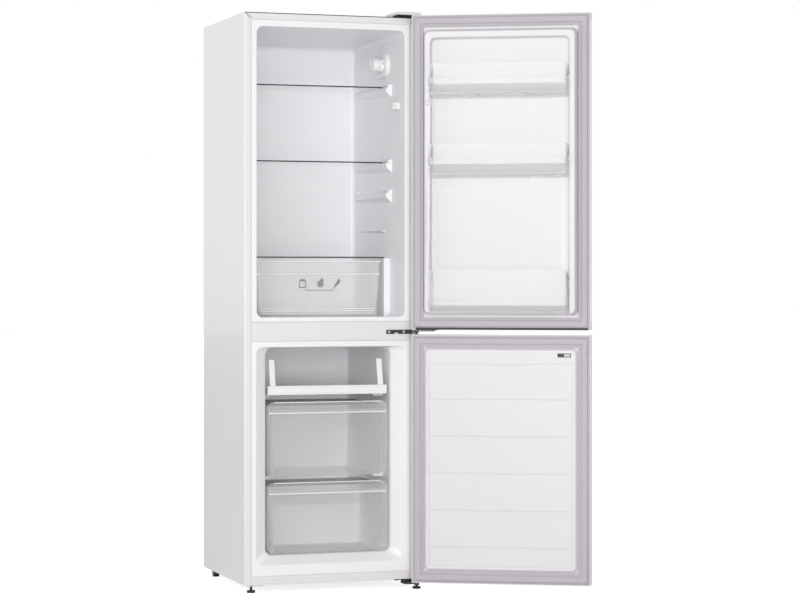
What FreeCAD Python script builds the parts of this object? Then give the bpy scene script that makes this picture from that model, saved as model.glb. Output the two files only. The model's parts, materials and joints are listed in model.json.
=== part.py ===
import FreeCAD, Part
import math
import os

from FreeCAD import Vector

os.makedirs("parts", exist_ok=True)

# Bottom freezer refrigerator, millimetres.
# Origin: on the floor, midway between the cabinet's sides, in the plane of its front face.
# +X is to the viewer's right, +Y goes back into the cabinet, +Z is up.
# The two doors hang on the right and stand open, as they are drawn at rest.

# ---------------------------------------------------------------- driving dimensions

# Cabinet shell
CABINET_WIDTH = 550.0
CABINET_DEPTH = 505.0
SHELL_TOP = 1760.0
SHELL_BOTTOM = 26.0
STEEL = 0.8
FRONT_FLANGE = 21.5
BACK_FLANGE = 16.0
SEAM = 0.5

# Liners
LINER = 2.0
FRIDGE_SIDE_INSULATION = 38.5
FRIDGE_SIDE_DRAFT = 18.5
FRIDGE_FLOOR = 836.0
TOP_INSULATION = 41.3
FRIDGE_BACK_INSULATION = 53.0
FRIDGE_DRAFT_CEILING = 18.0
FRIDGE_CORNER = 20.0
FREEZER_MOUTH_MARGIN = 15.5
FREEZER_SIDE_INSULATION = 75.5
FREEZER_SIDE_DRAFT = 7.5
FREEZER_MOUTH_BOTTOM = 84.5
FREEZER_MOUTH_TOP = 746.0
FREEZER_FLOOR = 111.5
FREEZER_CEILING = 726.0
FREEZER_BEVEL_DEPTH = 33.0
FREEZER_BACK_INSULATION = 65.0
FREEZER_DRAFT_CEILING = 6.0
FREEZER_CORNER = 22.0

# Front crossbars
MULLION_BOTTOM = 764.0
MULLION_TOP = 821.6
CROSSBAR_LIP = 22.0
PLUGS_FROM_EDGE = (50.0, 91.0)
PLUG_Z = 796.0
PLUG_RADIUS = 3.0
PLUG_HEAD_RADIUS = 4.5
PLUG_HEAD = 1.2
PLUG_REACH = 5.0
RAIL_TOP = 52.0

# Compressor bay and the step that it makes in the freezer
BAY_DEPTH = 171.0
BAY_TOP = 235.0
BAY_WALL = 28.0

# Shelf ledges moulded in the side walls
LEDGE_FRONT = 112.0
LEDGE_BACK_ROOM = 20.0
LEDGE_REACH = 23.5
LEDGE_ABOVE = 12.0
LEDGE_BELOW = 35.0
LEDGE_NOSE_HEIGHT = 14.0
LEDGE_LIP_LENGTH = 58.0
SHELF_STOP_GAP = 9.0
SHELF_STOP_LENGTH = 14.0
SHELF_STOP_PROUD = 7.0
SHELF_STOP_HEIGHT = 7.0

# Glass shelves
GLASS = 4.0
SHELF_SIDE_ROOM = 18.5
SHELF_FRONT = 150.0
SHELF_BACK_ROOM = 56.0
SHELF_CHAMFER = 12.0
UPPER_SHELF_DROP = 166.7
SHELF_SPACING = 236.0
SPARE_LEVEL_UPPER_RISE = 204.0
SPARE_LEVEL_LOWER_RISE = 87.0
SHELF_PLAY = 0.3

# Crisper and its cover
COVER_Z = 1018.0
COVER_FRONT = 140.0
COVER_BACK_ROOM = 52.0
COVER_SIDE_ROOM = 17.5
COVER_LEDGE_REACH = 24.5
COVER_LEDGE_FRONT = 130.0
CRISPER_SIDE_ROOM = 31.5
CRISPER_SIDE_DRAFT = 9.0
CRISPER_FRONT = 134.0
CRISPER_BACK_ROOM = 60.0
CRISPER_GAP_TOP = 8.0
CRISPER_WALL = 2.5
CRISPER_CORNER = 14.0
CRISPER_FRONT_RAKE = 8.0
CRISPER_RIM = 5.0
CRISPER_RIM_PROUD = 2.0
CRISPER_GRIP_DROP = 46.0
CRISPER_GRIP_HEIGHT = 4.0
CRISPER_GRIP_INSET = 20.0

# Freezer tray and drawers
RUNNER_REACH = 31.5
RUNNER_HEIGHT = 10.0
RUNNER_FRONT = 48.0
RUNNER_BACK_ROOM = 20.0
TRAY_Z = 598.0
TRAY_SIDE_ROOM = 12.5
TRAY_BACK_ROOM = 20.0
TRAY_PLATE = 3.0
TRAY_RIM = 14.0
TRAY_BAR_SIDE_ROOM = 8.5
TRAY_BAR_FRONT = 38.0
TRAY_BAR_DEPTH = 12.0
TRAY_BAR_HEIGHT = 28.0
TRAY_ARM_SIDE_ROOM = 17.5
TRAY_ARM_WIDTH = 18.0
TRAY_ARM_TOP = 706.0
TRAY_ARM_LEAN = 20.0
TRAY_ARM_DEPTH = 10.0
TRAY_ARM_FOOT = 7.0
TRAY_ARM_SETBACK = 4.0
TRAY_WALL = 2.5
TRAY_GROOVE_DEPTH = 2.0
TRAY_GROOVE_MARGIN = 6.0
DRAWER_SIDE_ROOM = 12.5
DRAWER_FRONT_SIDE_ROOM = 5.5
DRAWER_FRONT = 42.0
DRAWER_WALL = 2.5
DRAWER_FRONT_WALL = 3.5
DRAWER_DRAFT = 12.0
DRAWER_CORNER = 14.0
DRAWER_FRONT_CORNER = 24.0
UPPER_DRAWER_Z = 347.0
UPPER_DRAWER_HEIGHT = 230.0
UPPER_DRAWER_BACK_ROOM = 26.0
LOWER_DRAWER_HEIGHT = 219.0
LOWER_DRAWER_BACK_ROOM = 12.0
DRAWER_GRIP_DROP = 26.0
DRAWER_GRIP_PROUD = 7.0
DRAWER_GRIP_LIP = 4.0
DRAWER_GRIP_SKIRT = 10.0
DRAWER_GRIP_INSET = 6.0
DRAWER_SIDE_DROP = 12.0
SEAT_GAP = 0.3

# Doors
DOOR_THICKNESS = 43.0
DOOR_GAP = 12.0
DOOR_STEEL = 0.8
UPPER_DOOR_BOTTOM = 797.0
UPPER_DOOR_RISE = 2.0
LOWER_DOOR_BOTTOM = 20.0
LOWER_DOOR_TOP = 782.0
CAP_HEIGHT = 20.0
CAP_WALL = 2.5
DOOR_LINER = 1.5
DOOR_LINER_RIM = 9.0
DOOR_OPEN_ANGLE = 152.3
GASKET_OUTER = 8.0
GASKET_INNER = 38.0
GASKET_BASE = 5.0
GASKET_BULB_OUTER = 11.0
GASKET_BULB_INNER = 27.0
GASKET_SQUEEZE_GAP = 0.6
DYKE_INSET = 38.0
DYKE_CREST_INSET = 45.0
DYKE_TOP_INSET = 46.0
DYKE_BOTTOM_INSET = 44.0
DYKE_HEIGHT = 37.0
DYKE_FROM_EDGE = 63.0
DYKE_END_WIDTH = 21.0
DYKE_CORNER = 16.0
FIELD_HEIGHT = 8.0
PAD_INSET = 38.0
PAD_CREST_INSET = 46.0
PAD_HEIGHT = 10.0
PAD_CORNER = 14.0
PAD_BAND = 40.0
PAD_BOW = 5.0
PAD_STEP = 1.5
PAD_STEP_INSET = 9.0
PAD_CREASE_DEPTH = 0.8
PAD_CREASE_WIDTH = 3.0
PAD_CREASE_LOWEST_Z = 133.0
PAD_CREASE_PITCH = 113.0
PAD_CREASES = 5
GRIP_LENGTH = 190.0
GRIP_WIDTH = 24.0
GRIP_DEPTH = 15.0
GRIP_FROM_FREE_EDGE = 40.0
GRIP_WALL = 2.0

# Door racks
RACK_SIDE_ROOM = 3.5
RACK_WALL = 2.5
RACK_DEPTH = 98.0
RACK_BACK_WALL = 30.0
RACK_BOTTOM_RAKE = 12.0
RACK_BAND_PROUD = 1.5
RACK_BAND_HEIGHT = 18.0
RACK_UPPER_DROP = 244.0
RACK_UPPER_HEIGHT = 87.0
RACK_SPACING = 244.0
RACK_MIDDLE_HEIGHT = 89.0
BOTTLE_RACK_Z = 842.0
BOTTLE_RACK_HEIGHT = 138.0
RACK_LUG_PROUD = 3.0
RACK_LUG_HEIGHT = 22.0
RACK_LUG_WIDTH = 14.0
RACK_LUG_SETBACK = 4.0
RACK_LUG_DROP = 34.0
RACK_HOOK_HEIGHT = 16.0
RACK_HOOK_MARGIN = 2.0
RACK_RIM_HEIGHT = 3.0

# Hinges
HINGE_INSET = 12.0
HINGE_FORWARD = 35.0
PIN_RADIUS = 4.0
PIN_FIT = 0.05
BUSH_RADIUS = 8.0
BUSH_LENGTH = 18.0
BUSH_END_PLAY = 1.0
PIN_REACH = 15.0
BRACKET = 3.0
BRACKET_FRONT = 3.0
TOP_ARM_CLEARANCE = 1.5
TOP_ARM_WIDTH = 30.0
TOP_EYE_RADIUS = 7.5
TOP_PLATE_WIDTH = 62.0
TOP_PLATE_DEPTH = 60.0
TOP_PLATE_PAST_PIN = 6.0
TOP_SCREWS = ((-18.0, 18.0), (12.0, 18.0), (-4.0, 46.0))
COVER_WALL = 2.0
COVER_HEIGHT = 12.0
COVER_MARGIN = 4.0
COVER_SIDE_GAP = 2.0
COVER_NOSE = -47.0
COVER_CHAMFER = 4.0
COVER_BACK_TOP = 70.0
COVER_BACK_FOOT = 78.0
MIDDLE_PLATE_REACH = 87.0
MIDDLE_PLATE_HEIGHT = 13.0
MIDDLE_PLATE_FROM_PIN = 4.0
MIDDLE_ARM_WIDTH = 24.0
MIDDLE_EYE_RADIUS = 9.0
MIDDLE_SCREWS_FROM_PIN = (78.0, 30.0)
MIDDLE_NOTCH_FROM_PIN = (61.0, 49.0)
MIDDLE_NOTCH_HEIGHT = 4.0
BOTTOM_ARM_TOP = 17.0
BOTTOM_ARM_REACH = 38.0
BOTTOM_PLATE_REACH = 58.0
BOTTOM_PLATE_DEPTH = 80.0
BOTTOM_PLATE_SIDE_GAP = 3.0
BOTTOM_SCREWS_FROM_PIN = ((48.0, 14.0), (48.0, 60.0), (6.0, 60.0))
STEM_HEADROOM = 0.5
SCREW_RADIUS = 2.0
SCREW_HEAD_RADIUS = 4.2
SCREW_HEAD = 2.4
SCREW_LENGTH = 12.0
COLLAR_GAP = 0.2
STOP_PLATE = 1.8
STOP_PLATE_LENGTH = 66.0
STOP_PLATE_MARGIN = 3.0

# Feet and rollers
FOOT_RADIUS = 12.5
FOOT_HEIGHT = 7.0
FOOT_STEM_RADIUS = 4.0
FOOT_BOSS_RADIUS = 8.0
FOOT_STEM_PLAY = 2.0
FOOT_NOTCHES = 12
FOOT_NOTCH_RADIUS = 1.2
FOOT_NOTCH_FROM = 1.5
FOOT_PAD_LEFT = 20.0
FOOT_PAD_RIGHT = 30.0
FOOT_PAD_BACK = 35.0
FOOT_INSET = 30.0
LEFT_FOOT_Y = 35.0
ROLLER_RADIUS = 13.0
ROLLER_WIDTH = 18.0
ROLLER_INSET = 25.0
ROLLER_FROM_BACK = 60.0
AXLE_RADIUS = 3.0
ROLLER_SIDE_GAP = 0.6
CHEEK_HALF = 9.0

# Controls
CONTROL_Y = 160.0
CONTROL_DROP = 94.7
CONTROL_HALF_HEIGHT = 38.0
CONTROL_LENGTH = 118.0
CONTROL_PROUD = 34.5
CONTROL_WALL = 2.5
KNOB_RADIUS = 23.0
KNOB_HEIGHT = 15.0
KNOB_GRIP_PROUD = 5.0
KNOB_GRIP_HALF = 4.0
KNOB_GRIP_INSET = 3.0
SPINDLE_RADIUS = 3.0
SPINDLE_LENGTH = 9.0
LENS_FRONT = 196.0
LENS_HALF_HEIGHT = 14.0
LENS_PROUD = 5.0
SWITCH_FRONT = 40.0
SWITCH_DEPTH = 18.0
SWITCH_DROP = 228.7
SWITCH_HEIGHT = 20.0
SWITCH_PROUD = 25.5
PLUNGER_RADIUS = 4.0
PLUNGER_TRAVEL = 6.0
PLUNGER_PROUD = 9.0
PLUNGER_FROM_WALL = 17.0
BUMP_GAP = 0.4
BUMP_HALF = 5.0
SWITCH_FLOOR = 1.0

# Cooling circuit
BAY_PLATE_Z = 30.0
BAY_PLATE = 2.0
BAY_PLATE_SETBACK = 14.0
BAY_PLATE_INSET = 4.0
BAY_PLATE_LIP = 16.0
COMPRESSOR_FROM_SIDE = 180.0
COMPRESSOR_FROM_BACK = 87.0
COMPRESSOR_RADIUS = 66.0
COMPRESSOR_HEIGHT = 132.0
COMPRESSOR_FOOT = 3.0
COMPRESSOR_SHOULDER = 30.0
COMPRESSOR_SEAM = 5.0
COMPRESSOR_SEAM_PROUD = 3.0
RELAY_LIFT = 42.0
RELAY_REACH = 34.0
RELAY_HALF = 27.0
RELAY_HEIGHT = 56.0
GLAND_INSET = 14.0
GLAND_LENGTH = 17.0
GLAND_RADIUS = 7.0
GLAND_BORE = 3.6
GROMMET_RADIUS = 11.0
GROMMET_HEIGHT = 12.0
GROMMET_SPACING_X = 150.0
GROMMET_SPACING_Y = 92.0
TRAY_GAP = 0.3
DRIP_TRAY_LEFT = 137.0
DRIP_TRAY_RIGHT = 82.0
DRIP_TRAY_FRONT = 55.0
DRIP_TRAY_BACK = 69.0
DRIP_TRAY_WALL = 2.0
DRIP_TRAY_HEIGHT = 24.0
TUBE_RADIUS = 2.5
COIL_RADIUS = 4.0
COIL_GAP = 2.0
COIL_BEND = 10.0
COIL_LEVELS = 5
COIL_SETBACK = 40.0
COIL_BACK_ROOM = 1.0
COIL_RISE = 30.0
COIL_DROP = 70.0
CONDENSER_SIDE_ROOM = 50.0
CONDENSER_BOTTOM = 330.0
CONDENSER_PITCH = 90.0
CONDENSER_PASSES = 13
CONDENSER_OFFSET = 18.0
CONDENSER_BEND = 20.0
CLIP_INSET = 29.0
CLIP_HALF = 5.0
CLIP_HALF_HEIGHT = 7.0
WIRE_RADIUS = 0.9
WIRE_COUNT = 30
WIRE_MARGIN = 4.0
WIRE_OVERHANG = 14.0
EVAPORATOR_SIDE_ROOM = 48.0
EVAPORATOR_BOTTOM = 1120.0
EVAPORATOR_DROP = 78.7
EVAPORATOR_PLATE = 1.5
CHANNEL_ROWS = 6
CHANNEL_MARGIN = 15.0
CHANNEL_WIDTH = 8.0
CHANNEL_PROUD = 3.0
DRAIN_RADIUS = 8.0
DRAIN_FROM_BACK = 31.0
DRAIN_WALL = 1.5
DRAIN_DIP = 8.0
PIPE_BEND = 8.0
PIPE_SIDE = 18.0
DELIVERY_STUB = 22.0
DELIVERY_LIFT = 40.0
DELIVERY_SIDESTEP = 48.0
SUCTION_STUB = 40.0
SUCTION_LIFT = 80.0
SUCTION_SIDESTEP = 20.0
DRIER_BOTTOM = 110.0
DRIER_LENGTH = 80.0
DRIER_RADIUS = 9.0
DRIER_INBOARD = 60.0
CAPILLARY_RADIUS = 1.5
CAPILLARY_DROP = 50.0
CAPILLARY_LENGTH = 60.0

# ---------------------------------------------------------------- derived values

HALF = CABINET_WIDTH / 2
OPEN_HALF = HALF - FRONT_FLANGE
HINGE_X = HALF - HINGE_INSET
FRIDGE_HALF_FRONT = HALF - FRIDGE_SIDE_INSULATION
FRIDGE_HALF_BACK = FRIDGE_HALF_FRONT - FRIDGE_SIDE_DRAFT
FREEZER_HALF_MOUTH = OPEN_HALF - FREEZER_MOUTH_MARGIN
FREEZER_HALF_FRONT = HALF - FREEZER_SIDE_INSULATION
FREEZER_HALF_BACK = FREEZER_HALF_FRONT - FREEZER_SIDE_DRAFT
LEDGE_HALF_GAP = FRIDGE_HALF_FRONT - LEDGE_REACH
SHELF_HALF_WIDTH = FRIDGE_HALF_FRONT - SHELF_SIDE_ROOM
COVER_HALF_WIDTH = FRIDGE_HALF_FRONT - COVER_SIDE_ROOM
COVER_LEDGE_HALF_GAP = FRIDGE_HALF_FRONT - COVER_LEDGE_REACH
CRISPER_HALF_TOP = FRIDGE_HALF_FRONT - CRISPER_SIDE_ROOM
CRISPER_HALF_BOTTOM = CRISPER_HALF_TOP - CRISPER_SIDE_DRAFT
RUNNER_HALF_GAP = FREEZER_HALF_FRONT - RUNNER_REACH
TRAY_HALF_WIDTH = FREEZER_HALF_FRONT - TRAY_SIDE_ROOM
TRAY_BAR_HALF = FREEZER_HALF_FRONT - TRAY_BAR_SIDE_ROOM
TRAY_ARM_OUTER = FREEZER_HALF_FRONT - TRAY_ARM_SIDE_ROOM
DRAWER_HALF_WIDTH = FREEZER_HALF_FRONT - DRAWER_SIDE_ROOM
DRAWER_FRONT_HALF = FREEZER_HALF_FRONT - DRAWER_FRONT_SIDE_ROOM
DYKE_HALF_GAP = HALF - DYKE_FROM_EDGE
RACK_HALF_WIDTH = DYKE_HALF_GAP - RACK_SIDE_ROOM
PLUG_PLACES = [across - HALF for across in PLUGS_FROM_EDGE]
MIDDLE_PLATE_LEFT = HINGE_X - MIDDLE_PLATE_REACH
MIDDLE_SCREWS = [HINGE_X - across for across in MIDDLE_SCREWS_FROM_PIN]
MIDDLE_NOTCH = [HINGE_X - across for across in MIDDLE_NOTCH_FROM_PIN]
BOTTOM_ARM_LEFT = HINGE_X - BOTTOM_ARM_REACH
BOTTOM_PLATE_LEFT = HINGE_X - BOTTOM_PLATE_REACH
BOTTOM_SCREWS = [(HINGE_X - across, back) for across, back in BOTTOM_SCREWS_FROM_PIN]
LEFT_FOOT_X = FOOT_INSET - HALF
ROLLER_X = HALF - ROLLER_INSET
CONTROL_FACE_X = FRIDGE_HALF_FRONT - CONTROL_PROUD
SWITCH_INNER_X = FRIDGE_HALF_FRONT - SWITCH_PROUD
PLUNGER_X = FRIDGE_HALF_FRONT - PLUNGER_FROM_WALL
CONDENSER_HALF_WIDTH = HALF - CONDENSER_SIDE_ROOM
EVAPORATOR_HALF_WIDTH = FRIDGE_HALF_BACK - EVAPORATOR_SIDE_ROOM
COMPRESSOR_X = HALF - COMPRESSOR_FROM_SIDE
HINGE_Y = -HINGE_FORWARD
DOOR_INNER = -DOOR_GAP
DOOR_OUTER = DOOR_INNER - DOOR_THICKNESS
FRIDGE_DEPTH = CABINET_DEPTH - FRIDGE_BACK_INSULATION
FREEZER_DEPTH = CABINET_DEPTH - FREEZER_BACK_INSULATION
FRIDGE_CEILING = SHELL_TOP - TOP_INSULATION
BAY_FRONT = CABINET_DEPTH - BAY_DEPTH
LEDGE_BACK = FRIDGE_DEPTH - LEDGE_BACK_ROOM
SHELF_BACK = FRIDGE_DEPTH - SHELF_BACK_ROOM
SHELF_STOP_FRONT = SHELF_BACK + SHELF_STOP_GAP
SHELF_UPPER_Z = FRIDGE_CEILING - UPPER_SHELF_DROP
SHELF_MIDDLE_Z = SHELF_UPPER_Z - SHELF_SPACING
SPARE_LEVEL_UPPER_Z = COVER_Z + SPARE_LEVEL_UPPER_RISE
SPARE_LEVEL_LOWER_Z = COVER_Z + SPARE_LEVEL_LOWER_RISE
COVER_BACK = FRIDGE_DEPTH - COVER_BACK_ROOM
CRISPER_BACK = FRIDGE_DEPTH - CRISPER_BACK_ROOM
RUNNER_BACK = FREEZER_DEPTH - RUNNER_BACK_ROOM
TRAY_BACK = FREEZER_DEPTH - TRAY_BACK_ROOM
STEP_FRONT = BAY_FRONT - BAY_WALL
STEP_TOP = BAY_TOP + BAY_WALL
LOWER_DRAWER_Z = FREEZER_FLOOR + SEAT_GAP
UPPER_DRAWER_LENGTH = FREEZER_DEPTH - UPPER_DRAWER_BACK_ROOM - DRAWER_FRONT
LOWER_DRAWER_LENGTH = STEP_FRONT - LOWER_DRAWER_BACK_ROOM - DRAWER_FRONT
UPPER_DOOR_TOP = SHELL_TOP + UPPER_DOOR_RISE
RACK_UPPER_Z = UPPER_DOOR_TOP - RACK_UPPER_DROP
RACK_MIDDLE_Z = RACK_UPPER_Z - RACK_SPACING
ROLLER_Y = CABINET_DEPTH - ROLLER_FROM_BACK
CONTROL_Z = FRIDGE_CEILING - CONTROL_DROP
SWITCH_Z = FRIDGE_CEILING - SWITCH_DROP
COMPRESSOR_Y = CABINET_DEPTH - COMPRESSOR_FROM_BACK
EVAPORATOR_TOP = FRIDGE_CEILING - EVAPORATOR_DROP
DRAIN_Y = CABINET_DEPTH - DRAIN_FROM_BACK
FOOT_STEM_TOP_LEFT = SHELL_BOTTOM + STEEL + FOOT_STEM_PLAY
GROMMET_Z = BAY_PLATE_Z + BAY_PLATE
MOTOR_FOOT_Z = GROMMET_Z + GROMMET_HEIGHT
MOTOR_Z = MOTOR_FOOT_Z + COMPRESSOR_FOOT
CONDENSER_Y = CABINET_DEPTH + CONDENSER_OFFSET
CONDENSER_TOP = CONDENSER_BOTTOM + CONDENSER_PITCH * (CONDENSER_PASSES - 1)
RACKS = {
    "door_rack_upper": (RACK_UPPER_Z, RACK_UPPER_HEIGHT),
    "door_rack_middle": (RACK_MIDDLE_Z, RACK_MIDDLE_HEIGHT),
    "bottle_rack": (BOTTLE_RACK_Z, BOTTLE_RACK_HEIGHT),
}
SHELF_LEVELS = (SHELF_UPPER_Z, SHELF_MIDDLE_Z, SPARE_LEVEL_UPPER_Z)
RUNNER_LEVELS = (UPPER_DRAWER_Z, TRAY_Z)
MIDDLE_ARM_Z = (LOWER_DOOR_TOP + UPPER_DOOR_BOTTOM - BRACKET) / 2


# ---------------------------------------------------------------- geometry helpers


def box(x, y, z):
    """A block between pairs of x, y and z."""
    return Part.makeBox(x[1] - x[0], y[1] - y[0], z[1] - z[0], Vector(x[0], y[0], z[0]))


def rod(start, direction, length, radius):
    """A round bar from a point along a direction."""
    return Part.makeCylinder(radius, length, Vector(*start), Vector(*direction))


def tube(start, direction, length, radius, bore):
    """A round bar with a bore right through it."""
    return rod(start, direction, length, radius).cut(rod(start, direction, length, bore))


def fuse(shapes):
    """One solid from several that meet."""
    return shapes[0].multiFuse(shapes[1:]).removeSplitter()


def cut(shape, tools):
    """A shape with every tool taken out of it."""
    return shape.cut(tools)


def mirrored(shape):
    """The same piece on the other side of the cabinet."""
    return shape.mirror(Vector(0, 0, 0), Vector(1, 0, 0))


def frame_wire(x, z, radius, y):
    """A rectangle with round corners in a plane of constant y."""
    corners = [(x[0], z[0]), (x[1], z[0]), (x[1], z[1]), (x[0], z[1])]
    edges = []
    for index, (cx, cz) in enumerate(corners):
        nx, nz = corners[(index + 1) % 4]
        px, pz = corners[index - 1]
        into = unit(cx - px, cz - pz)
        out = unit(nx - cx, nz - cz)
        start = Vector(cx - into[0] * radius, y, cz - into[1] * radius)
        end = Vector(cx + out[0] * radius, y, cz + out[1] * radius)
        share = radius * (1 - math.sqrt(0.5))
        middle = Vector(cx + (out[0] - into[0]) * share, y, cz + (out[1] - into[1]) * share)
        following = Vector(nx - out[0] * radius, y, nz - out[1] * radius)
        edges.append(Part.Arc(start, middle, end).toShape())
        edges.append(Part.LineSegment(end, following).toShape())
    return Part.Wire(edges)


def flat_wire(x, y, radius, z):
    """A round-cornered rectangle in a plane of constant z."""
    wire = frame_wire(x, y, radius, 0.0)
    wire.rotate(Vector(0, 0, 0), Vector(1, 0, 0), -90)
    wire.translate(Vector(0, 0, z))
    return wire


def unit(dx, dz):
    """A direction of length one."""
    size = math.hypot(dx, dz)
    return dx / size, dz / size


def loft(sections):
    """A straight-sided solid through round-cornered rectangles, each (x, z, radius, y)."""
    return Part.makeLoft([frame_wire(*section) for section in sections], True, True)


def prism(points, axis, start, end):
    """A flat outline pushed along x, y or z from start to end."""
    place = {
        "x": lambda a, b: Vector(start, a, b),
        "y": lambda a, b: Vector(a, start, b),
        "z": lambda a, b: Vector(a, b, start),
    }[axis]
    push = {"x": Vector(1, 0, 0), "y": Vector(0, 1, 0), "z": Vector(0, 0, 1)}[axis]
    corners = [place(a, b) for a, b in points]
    face = Part.Face(Part.makePolygon(corners + [corners[0]]))
    return face.extrude(push * (end - start))


def route(points, radius, bend):
    """A pipe along straight runs joined by arcs of one bend radius."""
    nodes = [Vector(*p) for p in points]
    edges = []
    last = nodes[0]
    for before, corner, after in zip(nodes, nodes[1:], nodes[2:]):
        into = (corner - before).normalize()
        out = (after - corner).normalize()
        half_turn = into.getAngle(out) / 2
        setback = bend * math.tan(half_turn)
        start = corner - into * setback
        end = corner + out * setback
        inward = (out - into).normalize()
        middle = corner + inward * (bend / math.cos(half_turn) - bend)
        edges.append(Part.LineSegment(last, start).toShape())
        edges.append(Part.Arc(start, middle, end).toShape())
        last = end
    edges.append(Part.LineSegment(last, nodes[-1]).toShape())
    path = Part.Wire(edges)
    section = Part.Wire(Part.makeCircle(radius, nodes[0], nodes[1] - nodes[0]))
    return path.makePipeShell([section], True, False)


def stadium(y, z, x):
    """A long rounded outline in the y-z plane, pushed along x."""
    radius = (z[1] - z[0]) / 2
    centre_z = (z[0] + z[1]) / 2
    length = x[1] - x[0]
    front = rod((x[0], y[0] + radius, centre_z), (1, 0, 0), length, radius)
    back = rod((x[0], y[1] - radius, centre_z), (1, 0, 0), length, radius)
    middle = box(x, (y[0] + radius, y[1] - radius), z)
    return fuse([front, middle, back])


def opened(shape):
    """A door piece drawn shut, turned about the hinge line to where it stands open."""
    turned = shape.copy()
    turned.rotate(Vector(HINGE_X, HINGE_Y, 0), Vector(0, 0, 1), DOOR_OPEN_ANGLE)
    return turned


def save(name, shape):
    """Write one node."""
    solids = shape.Solids
    shape = solids[0] if len(solids) == 1 else Part.makeCompound(solids)
    shape.exportStep("parts/" + name + ".step")


# ---------------------------------------------------------------- liners


def fridge_form(offset, front):
    """The fridge compartment's volume, grown by offset, starting at y = front."""
    low = FRIDGE_FLOOR - offset
    high = FRIDGE_CEILING + offset
    side = FRIDGE_HALF_FRONT + offset
    back = FRIDGE_HALF_BACK + offset
    radius = FRIDGE_CORNER + offset
    end = FRIDGE_DEPTH + offset
    sections = [
        ((-side, side), (low, high), radius, front),
        ((-back, back), (low, high - FRIDGE_DRAFT_CEILING), radius, end),
    ]
    if front < 0:
        sections.insert(1, ((-side, side), (low, high), radius, 0.0))
    return loft(sections)


def freezer_form(offset, front):
    """The freezer compartment's volume, with its bevelled mouth and the step over the bay."""
    radius = FREEZER_CORNER + offset
    mouth = FREEZER_HALF_MOUTH + offset
    throat = FREEZER_HALF_FRONT + offset
    back = FREEZER_HALF_BACK + offset
    mouth_z = (FREEZER_MOUTH_BOTTOM - offset, FREEZER_MOUTH_TOP + offset)
    throat_z = (FREEZER_FLOOR - offset, FREEZER_CEILING + offset)
    back_z = (FREEZER_FLOOR - offset, FREEZER_CEILING - FREEZER_DRAFT_CEILING + offset)
    sections = [
        ((-mouth, mouth), mouth_z, radius, front),
        ((-throat, throat), throat_z, radius, FREEZER_BEVEL_DEPTH),
        ((-back, back), back_z, radius, FREEZER_DEPTH + offset),
    ]
    if front < 0:
        sections.insert(1, ((-mouth, mouth), mouth_z, radius, 0.0))
    step_front = STEP_FRONT + offset
    step_top = STEP_TOP - offset
    slope = BAY_WALL
    step = prism(
        [
            (step_front, 0.0),
            (step_front, step_top - slope),
            (step_front + slope, step_top),
            (CABINET_DEPTH, step_top),
            (CABINET_DEPTH, 0.0),
        ],
        "x",
        -HALF,
        HALF,
    )
    return loft(sections).cut(step)


def wall_ledge(level, back, reach):
    """A shelf ledge on the right wall, with a lip over the glass at its front."""
    wall = HALF
    lip_tip = level + GLASS + 2 * SHELF_PLAY
    below = prism(
        [
            (wall, level - SHELF_PLAY),
            (reach, level - SHELF_PLAY),
            (reach, level - LEDGE_NOSE_HEIGHT),
            (FRIDGE_HALF_FRONT, level - LEDGE_BELOW),
            (wall, level - LEDGE_BELOW),
        ],
        "y",
        LEDGE_FRONT,
        back,
    )
    above = prism(
        [
            (wall, lip_tip),
            (reach, lip_tip),
            (FRIDGE_HALF_FRONT - GLASS, level + LEDGE_ABOVE),
            (wall, level + LEDGE_ABOVE),
        ],
        "y",
        LEDGE_FRONT,
        LEDGE_FRONT + LEDGE_LIP_LENGTH,
    )
    seat = box(
        (SHELF_HALF_WIDTH + 4 * SHELF_PLAY, wall),
        (LEDGE_FRONT, LEDGE_FRONT + LEDGE_LIP_LENGTH),
        (level - SHELF_PLAY, lip_tip),
    )
    stop_z = level + GLASS + SHELF_PLAY
    stop = box(
        (FRIDGE_HALF_BACK - SHELF_STOP_PROUD, wall),
        (SHELF_STOP_FRONT, SHELF_STOP_FRONT + SHELF_STOP_LENGTH),
        (stop_z, stop_z + SHELF_STOP_HEIGHT),
    )
    return [below, above, seat, stop]


def fridge_liner():
    """The fridge compartment's liner, with its front flange, shelf ledges and crisper ledges."""
    inner = fridge_form(0.0, -1.0)
    outer = fridge_form(LINER, 0.0)
    flange = box(
        (-OPEN_HALF + SEAM, OPEN_HALF - SEAM),
        (0.0, LINER),
        (MULLION_TOP + SEAM, SHELL_TOP - FRONT_FLANGE - SEAM),
    )
    shell = outer.fuse(flange).cut(inner)
    pieces = []
    for level in SHELF_LEVELS:
        pieces += wall_ledge(level, LEDGE_BACK, LEDGE_HALF_GAP)
    small = SPARE_LEVEL_LOWER_Z
    pieces.append(
        prism(
            [(HALF, small), (LEDGE_HALF_GAP + 4, small), (HALF, small - LEDGE_BELOW)],
            "y",
            LEDGE_FRONT + LEDGE_LIP_LENGTH,
            LEDGE_BACK,
        )
    )
    pieces.append(
        box(
            (COVER_LEDGE_HALF_GAP, HALF),
            (COVER_LEDGE_FRONT, CABINET_DEPTH),
            (FRIDGE_FLOOR - LINER, COVER_Z - SEAT_GAP),
        )
    )
    right = fuse(pieces).common(outer)
    return fuse([shell, right, mirrored(right)])


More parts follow.
